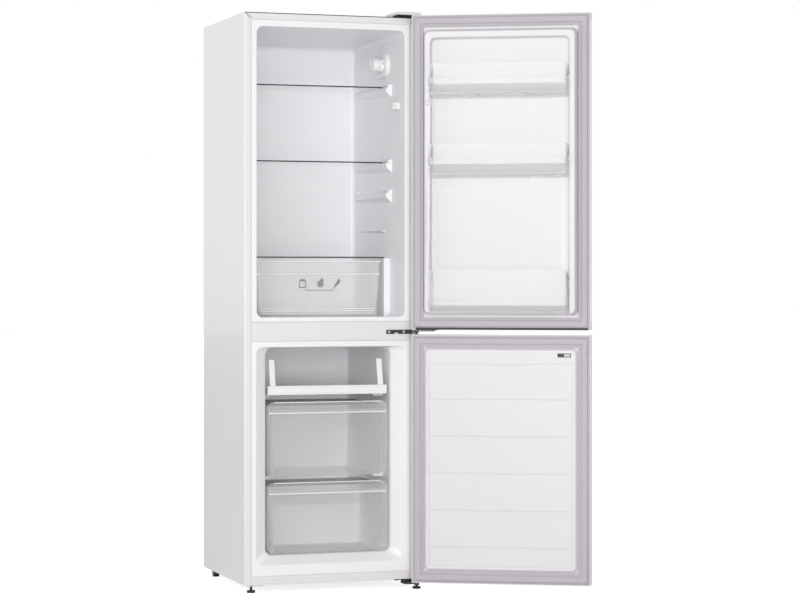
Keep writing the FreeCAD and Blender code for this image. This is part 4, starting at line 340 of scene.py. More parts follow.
def skinned(bm, loops, close_ends=True):
    """Rings of vertices joined into a tube of faces, with its ends closed if asked."""
    rings = [[bm.verts.new(point) for point in loop] for loop in loops]
    for first, second in zip(rings, rings[1:]):
        count = len(first)
        for index in range(count):
            after = (index + 1) % count
            bm.faces.new((first[index], first[after], second[after], second[index]))
    if close_ends:
        bm.faces.new(rings[0][::-1])
        bm.faces.new(rings[-1])


def upright(bm, outline, levels):
    """An outline in x and y skinned from one level in z to the next."""
    skinned(bm, [[(x, y, z) for x, y in outline] for z in levels])


def sideways(bm, profile, ends):
    """A profile in y and z skinned from one place in x to the next."""
    skinned(bm, [[(x, y, z) for y, z in profile] for x in ends])


# ---------------------------------------------------------------- stage

AMBIENT = 0.42
FLOOR_HALF = 30.0
FLOOR_LIFT = 0.78
LIT_POINT = Vector((0.1, 0.0, 0.85))
# Name, place, size and power in watts.
LAMPS = (
    ("key", (-3.0, -5.2, 2.4), (3.0, 2.6), 88.0),
    ("front", (-0.6, -6.5, 0.95), (2.2, 2.2), 85.0),
    ("low", (-1.5, -6.0, 0.45), (2.0, 0.8), 43.0),
    ("side", (-4.6, 0.8, 0.95), (2.4, 2.6), 66.0),
)
CAMERA_PLACE = (-2.15316, -6.99098, 0.96465)
CAMERA_TURN = -18.758
CAMERA_SENSOR = 36.0
CAMERA_LENS = 107.66
CAMERA_SHIFT = -0.0312
CAMERA_REACH = 60.0


def linked(name, data):
    """A new object of the stage in the scene."""
    made = bpy.data.objects.new(name, data)
    bpy.context.scene.collection.objects.link(made)
    return made


def surroundings():
    """A soft white room that the camera and reflections see at full strength."""
    world = bpy.data.worlds.new("studio")
    bpy.context.scene.world = world
    world.use_nodes = True
    tree = world.node_tree
    back = tree.nodes["Background"]
    path = tree.nodes.new("ShaderNodeLightPath")
    seen = path.outputs["Is Camera Ray"]
    for ray in ("Is Glossy Ray", "Is Transmission Ray"):
        either = computed(tree, "MAXIMUM", seen)
        tree.links.new(path.outputs[ray], either.inputs[1])
        seen = either.outputs[0]
    tree.links.new(spread(tree, seen, AMBIENT, 1.0), back.inputs["Strength"])
    back.inputs["Color"].default_value = (1.0, 1.0, 1.0, 1.0)


def floor_finish():
    """A pale floor that the camera sees as white, except in the object's shadow."""
    made, tree, shader, place = new_material("floor_pale")
    shader.inputs["Roughness"].default_value = 0.9
    tinted(tree, shader, noise(tree, place, 3.0), (0.86, 0.86, 0.86), (0.88, 0.88, 0.88))
    path = tree.nodes.new("ShaderNodeLightPath")
    lift = computed(tree, "MULTIPLY", path.outputs["Is Camera Ray"], FLOOR_LIFT)
    tree.links.new(lift.outputs[0], shader.inputs["Emission Strength"])
    shader.inputs["Emission Color"].default_value = (1.0, 1.0, 1.0, 1.0)
    return made


def stage():
    """Pale floor, white surroundings, soft lamps and the camera."""
    surroundings()

    bm = bmesh.new()
    bmesh.ops.create_grid(bm, x_segments=4, y_segments=4, size=FLOOR_HALF)
    mesh = bpy.data.meshes.new("floor")
    bm.to_mesh(mesh)
    bm.free()
    mesh.materials.append(floor_finish())
    linked("floor", mesh)

    for name, place, size, power in LAMPS:
        data = bpy.data.lights.new(name, "AREA")
        data.shape = "RECTANGLE"
        data.size, data.size_y = size
        data.energy = power
        lamp = linked(name, data)
        lamp.location = place
        lamp.rotation_euler = (LIT_POINT - Vector(place)).to_track_quat("-Z", "Y").to_euler()

    lens = bpy.data.cameras.new("camera")
    lens.sensor_width = CAMERA_SENSOR
    lens.lens = CAMERA_LENS
    lens.shift_y = CAMERA_SHIFT
    lens.clip_end = CAMERA_REACH
    camera = linked("camera", lens)
    camera.location = CAMERA_PLACE
    camera.rotation_euler = (math.radians(90.0), 0.0, math.radians(CAMERA_TURN))
    bpy.context.scene.camera = camera
    bpy.context.scene.view_settings.view_transform = "Standard"


stage()


# ---------------------------------------------------------------- cabinet shell

SCREWS_FROM_EDGE = 0.009
SCREWS_FROM_TOP = 0.010
SCREW_MARGIN = 0.03
SCREW_GAPS = 6
TOP_SCREWS = (-0.13, 0.0, 0.13)
# Radius, height and number of sides of a screw's washer and of its hexagon.
HEX_WASHER = ((0.0055, 0.0010, 20), (0.0036, 0.0032, 6))

SEAM_PROUD = 0.0001
SEAM_WIDTH = 0.0009
SEAM_DEPTH = 0.0012
SEAM_ENDS = (0.052, 1.7380)
CROSS_SEAMS = (0.8211, 0.7637)
CROSS_SEAM_WIDTH = 0.0007


def side_panel(side):
    """A cabinet side: one sheet bent round into its front flange, mitred at the top."""
    inner = BEND - SHEET
    front = (HALF - BEND, BEND)
    outside = [(HALF - SHEET, DEPTH), (HALF, DEPTH)] + arc_points(front, BEND, 0, -90)
    outside += [(HALF - FLANGE, 0.0)]
    inside = [(HALF - FLANGE, SHEET)] + arc_points(front, inner, -90, 0)
    profile = [(side * x, y) for x, y in outside + inside]

    def high(x, y):
        into = HALF - abs(x)
        return SHELL_TOP - (max(0.0, into - BEND) if y < 2 * SHEET else 0.0)

    bm = bmesh.new()
    skinned(bm, [[(x, y, SHELL_BOTTOM) for x, y in profile], [(x, y, high(x, y)) for x, y in profile]])
    name = "side_panel_left" if side < 0 else "side_panel_right"
    replacement(name, bm, "shell_white")


def back_screws():
    """Small hex-washer screws round the edge of the back sheet."""
    bm = bmesh.new()
    low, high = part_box("back_panel")
    columns = (low.x + SCREWS_FROM_EDGE, high.x - SCREWS_FROM_EDGE)
    run = high.z - low.z - 2 * SCREW_MARGIN
    levels = [low.z + SCREW_MARGIN + index * run / SCREW_GAPS for index in range(SCREW_GAPS + 1)]
    places = [(x, z) for x in columns for z in levels] + [(x, high.z - SCREWS_FROM_TOP) for x in TOP_SCREWS]
    for x, z in places:
        for radius, depth, count in HEX_WASHER:
            move = Matrix.Translation((x, DEPTH + depth / 2, z))
            bmesh.ops.create_cone(
                bm, cap_ends=True, segments=count, radius1=radius, radius2=radius, depth=depth,
                matrix=move @ Matrix.Rotation(math.radians(90), 4, "X"),
            )
    bevelled(bm, sharp_edges(bm, 80.0), 0.0003, 1)
    piece("back_panel_screws", bm, "cabinet", "screw_steel")


def front_seams():
    """The dark lines where the liners and crossbars meet the sides' flanges."""
    bm = bmesh.new()
    seam = HALF - FLANGE
    for side in (-1, 1):
        x = sorted((side * (seam + SEAM_PROUD), side * (seam - SEAM_WIDTH)))
        add_box(bm, (x[0], -SEAM_PROUD, SEAM_ENDS[0]), (x[1], SEAM_DEPTH, SEAM_ENDS[1]))
    for z in CROSS_SEAMS:
        add_box(bm, (-seam, -SEAM_PROUD, z), (seam, SEAM_DEPTH, z + CROSS_SEAM_WIDTH))
    piece("front_seams", bm, "cabinet", "seal_shade")


for side in (-1, 1):
    side_panel(side)
back_screws()
front_seams()

softened(
    "top_panel", "shell_white", 0.0003, rounds=((on_plane(2, SHELL_TOP), 0.0016, 2),)
)
softened("mullion_bar", "shell_white", 0.0008)
softened("bottom_front_rail", "shell_white", 0.0010)
softened("mullion_plugs", "cap_white", 0.0005)
for node in ("back_panel", "base_plate", "compressor_base"):
    softened(node, "galvanised", 0.0003)


# ---------------------------------------------------------------- liners

FRIDGE_BACK = 0.452
FREEZER_BACK = 0.440
FREEZER_THROAT = 0.033
THROAT_REACH = 0.003
RUNNER_TIP = 0.048
RUNNER_SET_BACK = 0.060
CEILING = (0.700, 0.745)
CEILING_HALF = HALF - 0.03
CEILING_LIFT = 0.0165


def freezer_shift(point):
    """The freezer's ceiling is raised to its lip, and the runners' tips are set back."""
    back = RUNNER_SET_BACK if abs(point.y - RUNNER_TIP) < 0.0006 else 0.0
    inside = CEILING[0] < point.z < CEILING[1] and abs(point.x) < CEILING_HALF
    lift = CEILING_LIFT if inside and point.y > FREEZER_THROAT - THROAT_REACH else 0.0
    return (0.0, back, lift)


softened(
    "fridge_liner", "liner_white", 0.0012, rounds=((on_plane(1, FRIDGE_BACK), 0.014, 5),)
)
FREEZER_ROUNDS = (
    (on_plane(1, FREEZER_BACK), 0.012, 4),
    (on_plane(1, FREEZER_THROAT, THROAT_REACH), 0.006, 4),
)
softened(
    "freezer_liner", "liner_white", 0.0012, rounds=FREEZER_ROUNDS, moved=freezer_shift
)
softened("cabinet_foam", "foam", 0.0, moved=freezer_shift)


# ---------------------------------------------------------------- doors

CAP_HEIGHT = 0.020
PANEL_TURN_IN = 0.009
PANEL_TUCK = 0.0015
# Distance in from the door's edge and height off its back, all round the seal's section.
SEAL_PROFILE = (
    (0.0030, 0.0), (0.0030, 0.0018), (0.0050, 0.0032), (0.0100, 0.0036), (0.0092, 0.0050),
    (0.0104, 0.0064), (0.0098, 0.0082), (0.0106, 0.0104), (0.0124, 0.0113), (0.0160, 0.0112),
    (0.0190, 0.0108), (0.0220, 0.0112), (0.0256, 0.0113), (0.0274, 0.0104), (0.0280, 0.0084),
    (0.0272, 0.0066), (0.0282, 0.0052), (0.0305, 0.0044), (0.0335, 0.0050), (0.0362, 0.0050),
    (0.0378, 0.0038), (0.0380, 0.0),
)
DYKE_TOP = DOOR_INNER + 0.037


def door_skin(name, door):
    """A door's steel front: bent round both long edges and turned in behind."""
    back = (HALF - PANEL_TUCK, DOOR_INNER - PANEL_TUCK)
    front = (HALF - DOOR_BEND, DOOR_OUTER + DOOR_BEND)
    outside = [(HALF - PANEL_TURN_IN, DOOR_INNER)] + arc_points(back, PANEL_TUCK, 90, 0, 3)
    outside += arc_points(front, DOOR_BEND, 0, -90)
    inside = arc_points(front, DOOR_BEND - SHEET, -90, 0) + arc_points(back, PANEL_TUCK - SHEET, 0, 90, 3)
    inside += [(HALF - PANEL_TURN_IN, DOOR_INNER - SHEET)]
    outer_path = outside + [(-x, y) for x, y in reversed(outside)]
    inner_path = [(-x, y) for x, y in reversed(inside)] + inside
    bm = bmesh.new()
    upright(bm, outer_path + inner_path, (door[0] + CAP_HEIGHT, door[1] - CAP_HEIGHT))
    replacement(name, bm, "shell_white", turned=True)


def gasket(name, door):
    """A magnetic seal: a base strip, a soft bulb with bellows sides and an inner flap, mitred."""
    bm = bmesh.new()
    corners = []
    for side, top in ((-1, False), (1, False), (1, True), (-1, True)):
        ring = []
        for inset, height in SEAL_PROFILE:
            z = door[1] - inset if top else door[0] + inset
            ring.append((side * (HALF - inset), DOOR_INNER + height, z))
        corners.append(ring)
    skinned(bm, corners + corners[:1], close_ends=False)
    bmesh.ops.remove_doubles(bm, verts=bm.verts, dist=0.000001)
    replacement(name, bm, "seal_grey", turned=True)


def front_corner(edge):
    """Whether an edge runs up and down at one of a door's front corners."""
    first, second = (vert.co for vert in edge.verts)
    along_z = abs(first.x - second.x) < NEAR and abs(first.y - second.y) < NEAR
    return along_z and abs(abs(first.x) - HALF) < NEAR and abs(first.y - DOOR_OUTER) < NEAR


door_skin("upper_door_panel", UPPER_DOOR)
door_skin("lower_door_panel", LOWER_DOOR)
gasket("upper_door_gasket", UPPER_DOOR)
gasket("lower_door_gasket", LOWER_DOOR)
for node in ("upper_door_caps", "lower_door_caps"):
    softened(node, "cap_white", 0.0012, rounds=((front_corner, DOOR_BEND, 4),), shut=True)

LINER_ROUNDS = {
    "upper_door_liner": ((on_plane(1, DYKE_TOP), 0.0045, 4), (on_plane(1, FIELD_Y), 0.0050, 4)),
    "lower_door_liner": ((on_plane(1, PAD_Y), 0.0016, 3),),
}
for node, rounds in LINER_ROUNDS.items():
    softened(node, "door_liner_painted_darker", 0.0008, rounds=rounds, shut=True)


# ---------------------------------------------------------------- small things on the doors

FIELD_X = (-0.196, 0.196)
FIELD_Z = (0.984, 1.232)
FIELD_HEIGHT = 0.0010
FIELD_RADIUS = 0.022
FIELD_SLOPE = 0.014
# Parts of the slope's run and of its height, from just inside the liner up to the flat top.
FIELD_SECTION = ((0.0, -0.4), (0.0, 0.0), (0.35, 0.75), (1.0, 1.0))

PLATE_RADIUS = 0.0015
PLATE_TOP = PAD_Y + 0.0008

# Height off the door's back and height above its foot, round the strip's section.
FOOT_STRIP = (
    (-0.0006, 0.0), (0.0035, 0.0004), (0.0044, 0.0024), (0.0042, 0.0060), (0.0032, 0.0068),
    (-0.0006, 0.0068),
)
FOOT_STRIP_RISE = 0.0002
FOOT_STRIP_ENDS = (-HALF + 0.008, HALF - 0.014)

LEVER_X = (0.208, 0.251)
LEVER_Y = (-0.043, -0.027)
LEVER_WALL = 0.003
LEVER_LEVELS = (-0.0055, -0.0030, -0.0010)

CREASES = 5
CREASE_LOWEST = 0.133
CREASE_PITCH = 0.113
CREASE_ENDS = (-0.216, 0.216)
CREASE_PROFILE = ((-0.0005, 0.0011), (0.00012, 0.0007), (0.00012, -0.0007), (-0.0005, -0.0011))


def upper_door_field():
    """The low pad with round corners and sloping sides on the upper door's inner face."""
    bm = bmesh.new()
    loops = []
    for across, up in FIELD_SECTION:
        inset, rise = FIELD_SLOPE * across, FIELD_HEIGHT * up
        x = (FIELD_X[0] + inset, FIELD_X[1] - inset)
        z = (FIELD_Z[0] + inset, FIELD_Z[1] - inset)
        flat = rounded_outline(x, z, FIELD_RADIUS - inset)
        loops.append([(px, FIELD_Y + rise, pz) for px, pz in flat])
    skinned(bm, loops)
    piece("upper_door_field", bm, "upper_door", "door_liner_painted_darker", turned=True)


def plate(name, x, z, y, finish):
    """A thin plate with round corners on the lower door."""
    bm = bmesh.new()
    flat = rounded_outline(x, z, PLATE_RADIUS, 3)
    skinned(bm, [[(px, depth, pz) for px, pz in flat] for depth in y])
    piece(name, bm, "lower_door", finish, turned=True)


def door_foot_strip():
    """A dark strip along the upper door's bottom edge."""
    bm = bmesh.new()
    foot = UPPER_DOOR[0] + FOOT_STRIP_RISE
    sideways(bm, [(DOOR_INNER + depth, foot + rise) for depth, rise in FOOT_STRIP], FOOT_STRIP_ENDS)
    piece("upper_door_foot_strip", bm, "upper_door", "black_plastic", turned=True)


def stop_lever():
    """The black lever under the upper door that meets the hinge arm when the door is wide open."""
    bm = bmesh.new()
    low, middle, high = (UPPER_DOOR[0] + level for level in LEVER_LEVELS)
    add_box(bm, (LEVER_X[0], LEVER_Y[0], low), (LEVER_X[1], LEVER_Y[1], middle))
    add_box(bm, (LEVER_X[0], LEVER_Y[0], middle), (LEVER_X[0] + LEVER_WALL, LEVER_Y[1], high))
    bevelled(bm, sharp_edges(bm, 80.0), 0.0004, 1)
    piece("upper_door_stop_lever", bm, "upper_door", "hinge_black", turned=True)


def pad_creases():
    """The fine lines pressed across the lower door's pad: thin strips barely proud of the pad and a little darker,
    painted shade standing in for the creases' hollows.
    """
    bm = bmesh.new()
    for index in range(CREASES):
        z = CREASE_LOWEST + CREASE_PITCH * index
        sideways(bm, [(PAD_Y + rise, z + across) for rise, across in CREASE_PROFILE], CREASE_ENDS)
    piece("lower_door_creases", bm, "lower_door", "crease_painted_shade", turned=True)


upper_door_field()
# The small bare plate in the lower door's top corner is dark with a paler window.
plate("lower_door_plate", (-0.2155, -0.1745), (0.7145, 0.7265), (PAD_Y - 0.0005, PLATE_TOP), "plate_dark")
plate(
    "lower_door_plate_window", (-0.2130, -0.1945), (0.7168, 0.7242),
    (PLATE_TOP - 0.0002, PLATE_TOP + 0.0002), "plate_pale",
)
door_foot_strip()
stop_lever()
pad_creases()


# ---------------------------------------------------------------- racks

RACK_FOOT = 0.020
RACK_DROP = 0.0137
RACK_FLOOR_HALF = 0.2065
# Depth, and height above the rack's foot, round the floor's section.
RACK_FLOOR = ((0.0, -0.0008), (0.092, 0.0112), (0.092, 0.0128), (0.0, 0.0010))
BAND_HALF = 0.2105
BAND_FRONT = 0.0953
BAND_CORNER = 0.006
BAND_WALL = 0.0018
BAND_LEVELS = (0.0238, 0.0258, 0.0402, 0.0422)
BAND_START = 0.012
BOTTLE_BAND_START = 0.032
# A band that starts nearer the door than this has square ends.
BAND_SQUARE = 0.02


def rack(node, drop, band_start):
    """A door rack: the clear moulding, its milky floor and the band round its front."""
    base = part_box(node)[0].z

    def let_down(point):
        return (0.0, 0.0, -drop if point.z < base + RACK_FOOT else 0.0)

    softened(node, "clear_plastic", 0.0012, shut=True, moved=let_down)

    bm = bmesh.new()
    profile = [(y, base - drop + rise) for y, rise in RACK_FLOOR]
    sideways(bm, profile, (-RACK_FLOOR_HALF, RACK_FLOOR_HALF))
    bevelled(bm, sharp_edges(bm, 60.0), 0.0005, 1)
    piece(node + "_floor", bm, BODY_OF[node], "rack_white", turned=True)

    bm = bmesh.new()
    outline = [(-BAND_HALF, band_start), (-BAND_HALF, BAND_FRONT - BAND_CORNER)]
    outline += [(-BAND_HALF + BAND_CORNER, BAND_FRONT)]
    outline += [(-x, y) for x, y in reversed(outline)]
    narrowed = (BAND_HALF - BAND_WALL) / BAND_HALF
    inside = [(x * narrowed, y - (BAND_WALL if y > BAND_SQUARE else 0.0)) for x, y in outline]
    upright(bm, outline + inside[::-1], [base + level for level in BAND_LEVELS])
    bevelled(bm, sharp_edges(bm, 60.0), 0.0005, 2)
    piece(node + "_band", bm, BODY_OF[node], "band_plastic", turned=True)


rack("door_rack_upper", RACK_DROP, BAND_START)
rack("door_rack_middle", RACK_DROP, BAND_START)
rack("bottle_rack", 0.0, BOTTLE_BAND_START)


# ---------------------------------------------------------------- shelves

SHELF_CHAMFER = 0.012
# Depth behind the shelf's front edge, and height above its foot and its top.
EDGE_FRONT = (-0.0004, 0.0004)
EDGE_BACK = (0.0012, -0.0001)


def shelf(node, front, half):
    """A glass shelf, dark along its front where the glass is seen through its length."""
    softened(node, "shelf_glass", 0.0005)
    low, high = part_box(node)
    outline = [(-half, front + SHELF_CHAMFER), (-half + SHELF_CHAMFER, front)]
    outline += [(half - SHELF_CHAMFER, front), (half, front + SHELF_CHAMFER)]
    bm = bmesh.new()
    for ends in zip(outline, outline[1:]):
        loops = []
        for x, y in ends:
            (y_front, in_front), (y_back, in_back) = EDGE_FRONT, EDGE_BACK
            loops.append([
                (x, y + y_front, low.z + in_front), (x, y + y_front, high.z - in_front),
                (x, y + y_back, high.z - in_back), (x, y + y_back, low.z + in_back),
            ])
        skinned(bm, loops)
    piece(node + "_edge", bm, BODY_OF[node], "glass_edge")


shelf("glass_shelf_upper", 0.150, 0.218)
shelf("glass_shelf_middle", 0.150, 0.218)
shelf("crisper_cover", 0.140, 0.219)


# ---------------------------------------------------------------- drawers

CRISPER_FRONT = 0.134
CRISPER_TOP = 1.010
CRISPER_HEIGHT = 0.1737
CRISPER_RAKE = 0.008
# Half length, drop below the crisper's top, width and height of each bead.
CRISPER_BEADS = (
    (0.203, 0.0030, 0.0030, 0.0012),
    (0.200, 0.0425, 0.0034, 0.0020),
    (0.186, 0.1500, 0.0016, 0.0006),
    (0.184, 0.1570, 0.0022, 0.0008),
    (0.180, 0.1640, 0.0016, 0.0006),
)
# Half length, place in depth, drop below the drawer's top, width and height of each bead.
DRAWER_BEADS = ((0.187, 0.0352, 0.0345, 0.0030, 0.0008), (0.170, 0.0422, 0.0022, 0.0024, 0.0008))

MARK_HEIGHT = 0.0003
MARK_SIZE = 0.026
MARK_X = 0.006
MARK_DROP = 0.072
MARK_LINE = ((-0.049, -0.0205), (0.049, -0.0205))
MARK_LINE_WIDTH = 0.0015


def bead(bm, half, y, z, width, proud):
    """A rounded bead across a clear front, added to a bmesh."""
    turns = [math.radians(180 + 30 * index) for index in range(7)]
    profile = [(y + proud * math.sin(turn), z + width / 2 * math.cos(turn)) for turn in turns]
    sideways(bm, profile, (-half, half))


def clear_beads():
    """Beads moulded on the crisper's and the drawers' fronts, in a near-opaque white that paints the highlight
    lines along them.
    """
    lean = CRISPER_RAKE / CRISPER_HEIGHT
    bm = bmesh.new()
    for half, drop, width, proud in CRISPER_BEADS:
        bead(bm, half, CRISPER_FRONT + lean * drop, CRISPER_TOP - drop, width, proud)
    piece("crisper_beads", bm, "crisper", "bead_painted_highlight")
    for node in ("freezer_drawer_upper", "freezer_drawer_lower"):
        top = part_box(node)[1].z
        bm = bmesh.new()
        for half, y, drop, width, proud in DRAWER_BEADS:
            bead(bm, half, y, top - drop, width, proud)
        piece(node + "_beads", bm, BODY_OF[node], "bead_painted_highlight")


def stroke(bm, points, width, closed=False):
    """A thin raised line through points in x and z, added to a bmesh."""
    pairs = zip(points, points[1:] + points[:1]) if closed else zip(points, points[1:])
    for (x0, z0), (x1, z1) in pairs:
        run = math.hypot(x1 - x0, z1 - z0)
        ux, uz = (x1 - x0) / run * width / 2, (z1 - z0) / run * width / 2
        flat = [
            (x0 - ux - uz, z0 - uz + ux), (x0 - ux + uz, z0 - uz - ux),
            (x1 + ux + uz, z1 + uz - ux), (x1 + ux - uz, z1 + uz + ux),
        ]
        skinned(bm, [[(x, y, z) for x, z in flat] for y in (0.0, -MARK_HEIGHT)])


def pictograms(bm, size):
    """Three plain drawings of food: a jar, a bunch of berries and a root with leaves.

    Their points are in parts of the drawings' size.
    """
    thin = 0.085

    def draw(points, width, closed=False):
        stroke(bm, [(x * size, z * size) for x, z in points], width * size, closed)

    jar = ((-0.30, 0.35), (-0.38, 0.2), (-0.38, -0.45), (0.38, -0.45), (0.38, 0.2), (0.30, 0.35))
    draw([(x - 2.2, z) for x, z in jar], thin, closed=True)
    draw([(-2.45, 0.48), (-1.95, 0.48)], thin)
    for row, count in ((0.18, 3), (-0.08, 3), (-0.32, 2)):
        for index in range(count):
            draw(arc_points(((index - (count - 1) / 2) * 0.27, row), 0.115, 0, 360, 10), thin * 0.55)
    draw([(0.0, 0.32), (0.06, 0.52)], thin)
    draw(arc_points((0.2, 0.46), 0.14, 0, 360, 10), thin * 0.8)
    draw([(1.75, -0.42), (2.05, 0.16), (2.28, 0.02), (1.75, -0.42)], thin)
    for turn in (35, 60, 85):
        tip = (2.18 + 0.42 * math.cos(math.radians(turn)), 0.1 + 0.42 * math.sin(math.radians(turn)))
        draw([(2.18, 0.1), tip], thin)


def crisper_marks():
    """Plain drawings and a line on the crisper's front, which leans back towards its foot."""
    bm = bmesh.new()
    pictograms(bm, MARK_SIZE)
    stroke(bm, MARK_LINE, MARK_LINE_WIDTH)
    y = CRISPER_FRONT + CRISPER_RAKE * MARK_DROP / CRISPER_HEIGHT - 0.0001
    lean = Matrix.Rotation(math.atan2(CRISPER_RAKE, CRISPER_HEIGHT), 4, "X")
    bm.transform(Matrix.Translation((MARK_X, y, CRISPER_TOP - MARK_DROP)) @ lean)
    piece("crisper_marks", bm, "crisper", "ink_grey")


softened("crisper", "crisper_plastic", 0.0014)
softened("freezer_drawer_upper", "frosted_plastic", 0.0012)
softened("freezer_drawer_lower", "frosted_plastic", 0.0012)
softened("freezer_tray", "inner_white", 0.0018)
clear_beads()
crisper_marks()


# ---------------------------------------------------------------- controls

CONTROL = Vector((0.202, 0.160, 1.624))
# Each pair is a place in x and an inset from the base's outline, or a radius.
BASE_PROFILE = ((0.2215, 0.0), (0.2185, 0.0012), (0.2168, 0.0045), (0.2160, 0.0100))
DRUM_PROFILE = ((0.2170, 0.0210), (0.2150, 0.0198), (0.2030, 0.0196), (0.2022, 0.0188), (0.2020, 0.0170))
KNOB_RADIUS = 0.0197
KNOB_PROFILE = (
    (0.2017, 0.0165), (0.2012, 0.0190), (0.2004, KNOB_RADIUS), (0.1905, KNOB_RADIUS), (0.1900, 0.0190),
    (0.1893, 0.0186), (0.1886, 0.0190), (0.1880, KNOB_RADIUS), (0.1832, KNOB_RADIUS), (0.1822, 0.0190),
    (0.1818, 0.0176), (0.1826, 0.0162), (0.1840, 0.0155), (0.1843, 0.0060),
)
KNOB_RIBS = 12
RIB_X = 0.1955
RIB_HALF = Vector((0.0035, 0.0004, 0.0005))
MARK_PLACE_X = 0.2125
MARK_TURN = -148.0


def ring_loops(profile, steps=40):
    """Rings round the control's axis along x, from pairs of a place on the axis and a radius."""
    turns = [2 * math.pi * index / steps for index in range(steps)]
    return [
        [(x, CONTROL.y + radius * math.cos(turn), CONTROL.z + radius * math.sin(turn)) for turn in turns]
        for x, radius in profile
    ]


def control_base(y, z, steps=10):
    """The outline of the control's base: a plate with half-round ends, in y and z."""
    radius = (z[1] - z[0]) / 2
    middle = (z[0] + z[1]) / 2
    right = arc_points((y[1] - radius, middle), radius, -90, 90, steps)
    left = arc_points((y[0] + radius, middle), radius, 90, 270, steps)
    return right + left


def thermostat():
    """The control on the right wall: a low domed base, a drum standing on it and the knob."""
    low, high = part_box("thermostat_housing")
    bm = bmesh.new()
    loops = []
    for x, inset in ((high.x - 0.001, 0.0),) + BASE_PROFILE:
        flat = control_base((low.y + inset, high.y - inset), (low.z + inset, high.z - inset))
        loops.append([(x, py, pz) for py, pz in flat])
    skinned(bm, loops)
    skinned(bm, ring_loops(DRUM_PROFILE))
    replacement("thermostat_housing", bm, "inner_white")

    bm = bmesh.new()
    skinned(bm, ring_loops(KNOB_PROFILE))
    replacement("thermostat_knob", bm, "inner_white")

    bm = bmesh.new()
    for index in range(KNOB_RIBS):
        turn = 2 * math.pi * index / KNOB_RIBS
        across, up = KNOB_RADIUS * math.cos(turn), KNOB_RADIUS * math.sin(turn)
        verts = add_box(bm, -RIB_HALF, RIB_HALF)
        move = Matrix.Translation((RIB_X, CONTROL.y + across, CONTROL.z + up))
        place = move @ Matrix.Rotation(turn - math.pi / 2, 4, "X")
        bmesh.ops.transform(bm, matrix=place, verts=verts)
    piece("thermostat_knob_ribs", bm, "thermostat_knob", "inner_white")

    bm = bmesh.new()
    turn = math.radians(MARK_TURN)
    y = CONTROL.y + KNOB_RADIUS * math.cos(turn)
    z = CONTROL.z - KNOB_RADIUS * math.sin(turn) * 0.35
    bmesh.ops.create_cone(
        bm, cap_ends=True, segments=20, radius1=0.0022, radius2=0.0019, depth=0.006,
        matrix=Matrix.Translation((MARK_PLACE_X, y, z)) @ Matrix.Rotation(math.radians(90.0), 4, "X"),
    )
    piece("thermostat_mark", bm, "cabinet", "black_plastic")


thermostat()
softened("lamp_lens", "lens_clear", 0.0014)
softened("door_switch_body", "inner_white", 0.0008)
softened("door_switch_plunger", "inner_white", 0.0010)


# ---------------------------------------------------------------- hinges, feet and rollers

SCREW_SIDES = 24
SHANK_TIP_RADIUS = 0.0016
SHANK_RADIUS = 0.0019
HEAD_HEIGHT = 0.0023
RECESS_HALF_WIDTH = 0.0006


def islands(node):
    """The points of each separate solid of a CAD node."""
    bm = bmesh.new()
    bm.from_mesh(frame["nodes"][node].data)
    bmesh.ops.remove_doubles(bm, verts=bm.verts, dist=MERGE)
    found = []
    left = set(bm.verts)
    for start in bm.verts:
        if start not in left:
            continue
        left.discard(start)
        stack = [start]
        group = []
        while stack:
            vert = stack.pop()
            group.append(vert.co.copy())
            for edge in vert.link_edges:
                other = edge.other_vert(vert)
                if other in left:
                    left.discard(other)
                    stack.append(other)
        found.append(group)
    bm.free()
    return found


def end_radius(group, middle, axis, value):
    """How far a screw's points at one of its ends lie from its axis."""
    near = [point for point in group if abs(point[axis] - value) < 0.0003]
    away = [point - middle for point in near]
    return math.sqrt(max(arm.length_squared - arm[axis] ** 2 for arm in away))


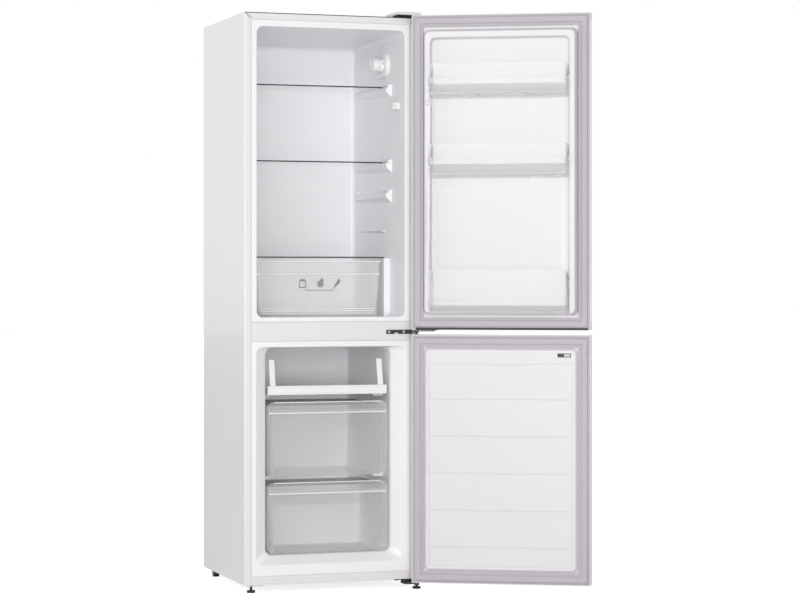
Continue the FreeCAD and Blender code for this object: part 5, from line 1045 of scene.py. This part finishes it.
def screws():
    """Pan head screws in place of the plain CAD ones, each with a black cross on its uncut head: painted shade for
    the cross recess.
    """
    bm = bmesh.new()
    recess_shade = bmesh.new()
    for group in islands("hinge_screws"):
        low = Vector([min(point[axis] for point in group) for axis in range(3)])
        high = Vector([max(point[axis] for point in group) for axis in range(3)])
        size = high - low
        axis = max(range(3), key=lambda index: size[index])
        across = [index for index in range(3) if index != axis]
        middle = (low + high) / 2
        low_radius = end_radius(group, middle, axis, low[axis])
        high_radius = end_radius(group, middle, axis, high[axis])
        radius = max(low_radius, high_radius)
        out, tip, top = 1, low[axis], high[axis]
        if low_radius > high_radius:
            out, tip, top = -1, high[axis], low[axis]
        profile = (
            (SHANK_TIP_RADIUS, tip + out * 0.001), (SHANK_RADIUS, top - out * HEAD_HEIGHT),
            (radius, top - out * HEAD_HEIGHT), (radius, top - out * 0.0012),
            (radius * 0.86, top - out * 0.0004), (radius * 0.6, top),
        )
        rings = []
        for ring_radius, along in profile:
            ring = []
            for step in range(SCREW_SIDES):
                turn = 2 * math.pi * step / SCREW_SIDES
                point = Vector((0.0, 0.0, 0.0))
                point[axis] = along
                point[across[0]] = middle[across[0]] + ring_radius * math.cos(turn)
                point[across[1]] = middle[across[1]] + ring_radius * math.sin(turn)
                ring.append(point)
            rings.append(ring)
        skinned(bm, rings)
        # The recesses are black crosses laid on the heads, which aren't cut: painted shade.
        for long_axis, short_axis in (across, across[::-1]):
            half = Vector((0.0, 0.0, 0.0))
            half[axis] = 0.0004
            half[long_axis] = radius * 0.58
            half[short_axis] = RECESS_HALF_WIDTH
            face = middle.copy()
            face[axis] = top
            add_box(recess_shade, face - half, face + half)
    replacement("hinge_screws", bm, "screw_steel")
    piece("hinge_screw_recess_shade", recess_shade, "cabinet", "hinge_black")


screws()
for node in ("top_hinge", "middle_hinge", "bottom_hinge"):
    softened(node, "hinge_black", 0.0006)
softened("top_hinge_cover", "cap_white", 0.0016, segments=3)
for node in ("upper_door_bushes", "lower_door_bushes"):
    softened(node, "bush_grey", 0.0004)
softened("upper_door_stop", "hinge_black", 0.0004)
for node in ("foot_left", "foot_right", "roller_left", "roller_right"):
    softened(node, "black_plastic", 0.0007)


# ---------------------------------------------------------------- cooling circuit

softened("compressor", "black_enamel", 0.0015)
softened("terminal_box", "black_plastic", 0.0015)
softened("condenser_clips", "black_plastic", 0.0008)
softened("evaporation_tray", "black_plastic", 0.0008)
softened("drain_tube", "cap_white", 0.0003)

# CAD nodes whose shapes stay as they are.
CARRIED = {
    "upper_door_foam": "foam",
    "lower_door_foam": "foam",
    "condenser_tube": "black_enamel",
    "condenser_wires": "black_enamel",
    "refrigerant_pipes": "copper",
    "fridge_evaporator": "aluminium",
    "freezer_evaporator": "aluminium",
    "compressor_grommets": "black_plastic",
}
for node, finish in CARRIED.items():
    data = frame["nodes"][node].data
    data.materials.clear()
    data.materials.append(FINISH[finish])
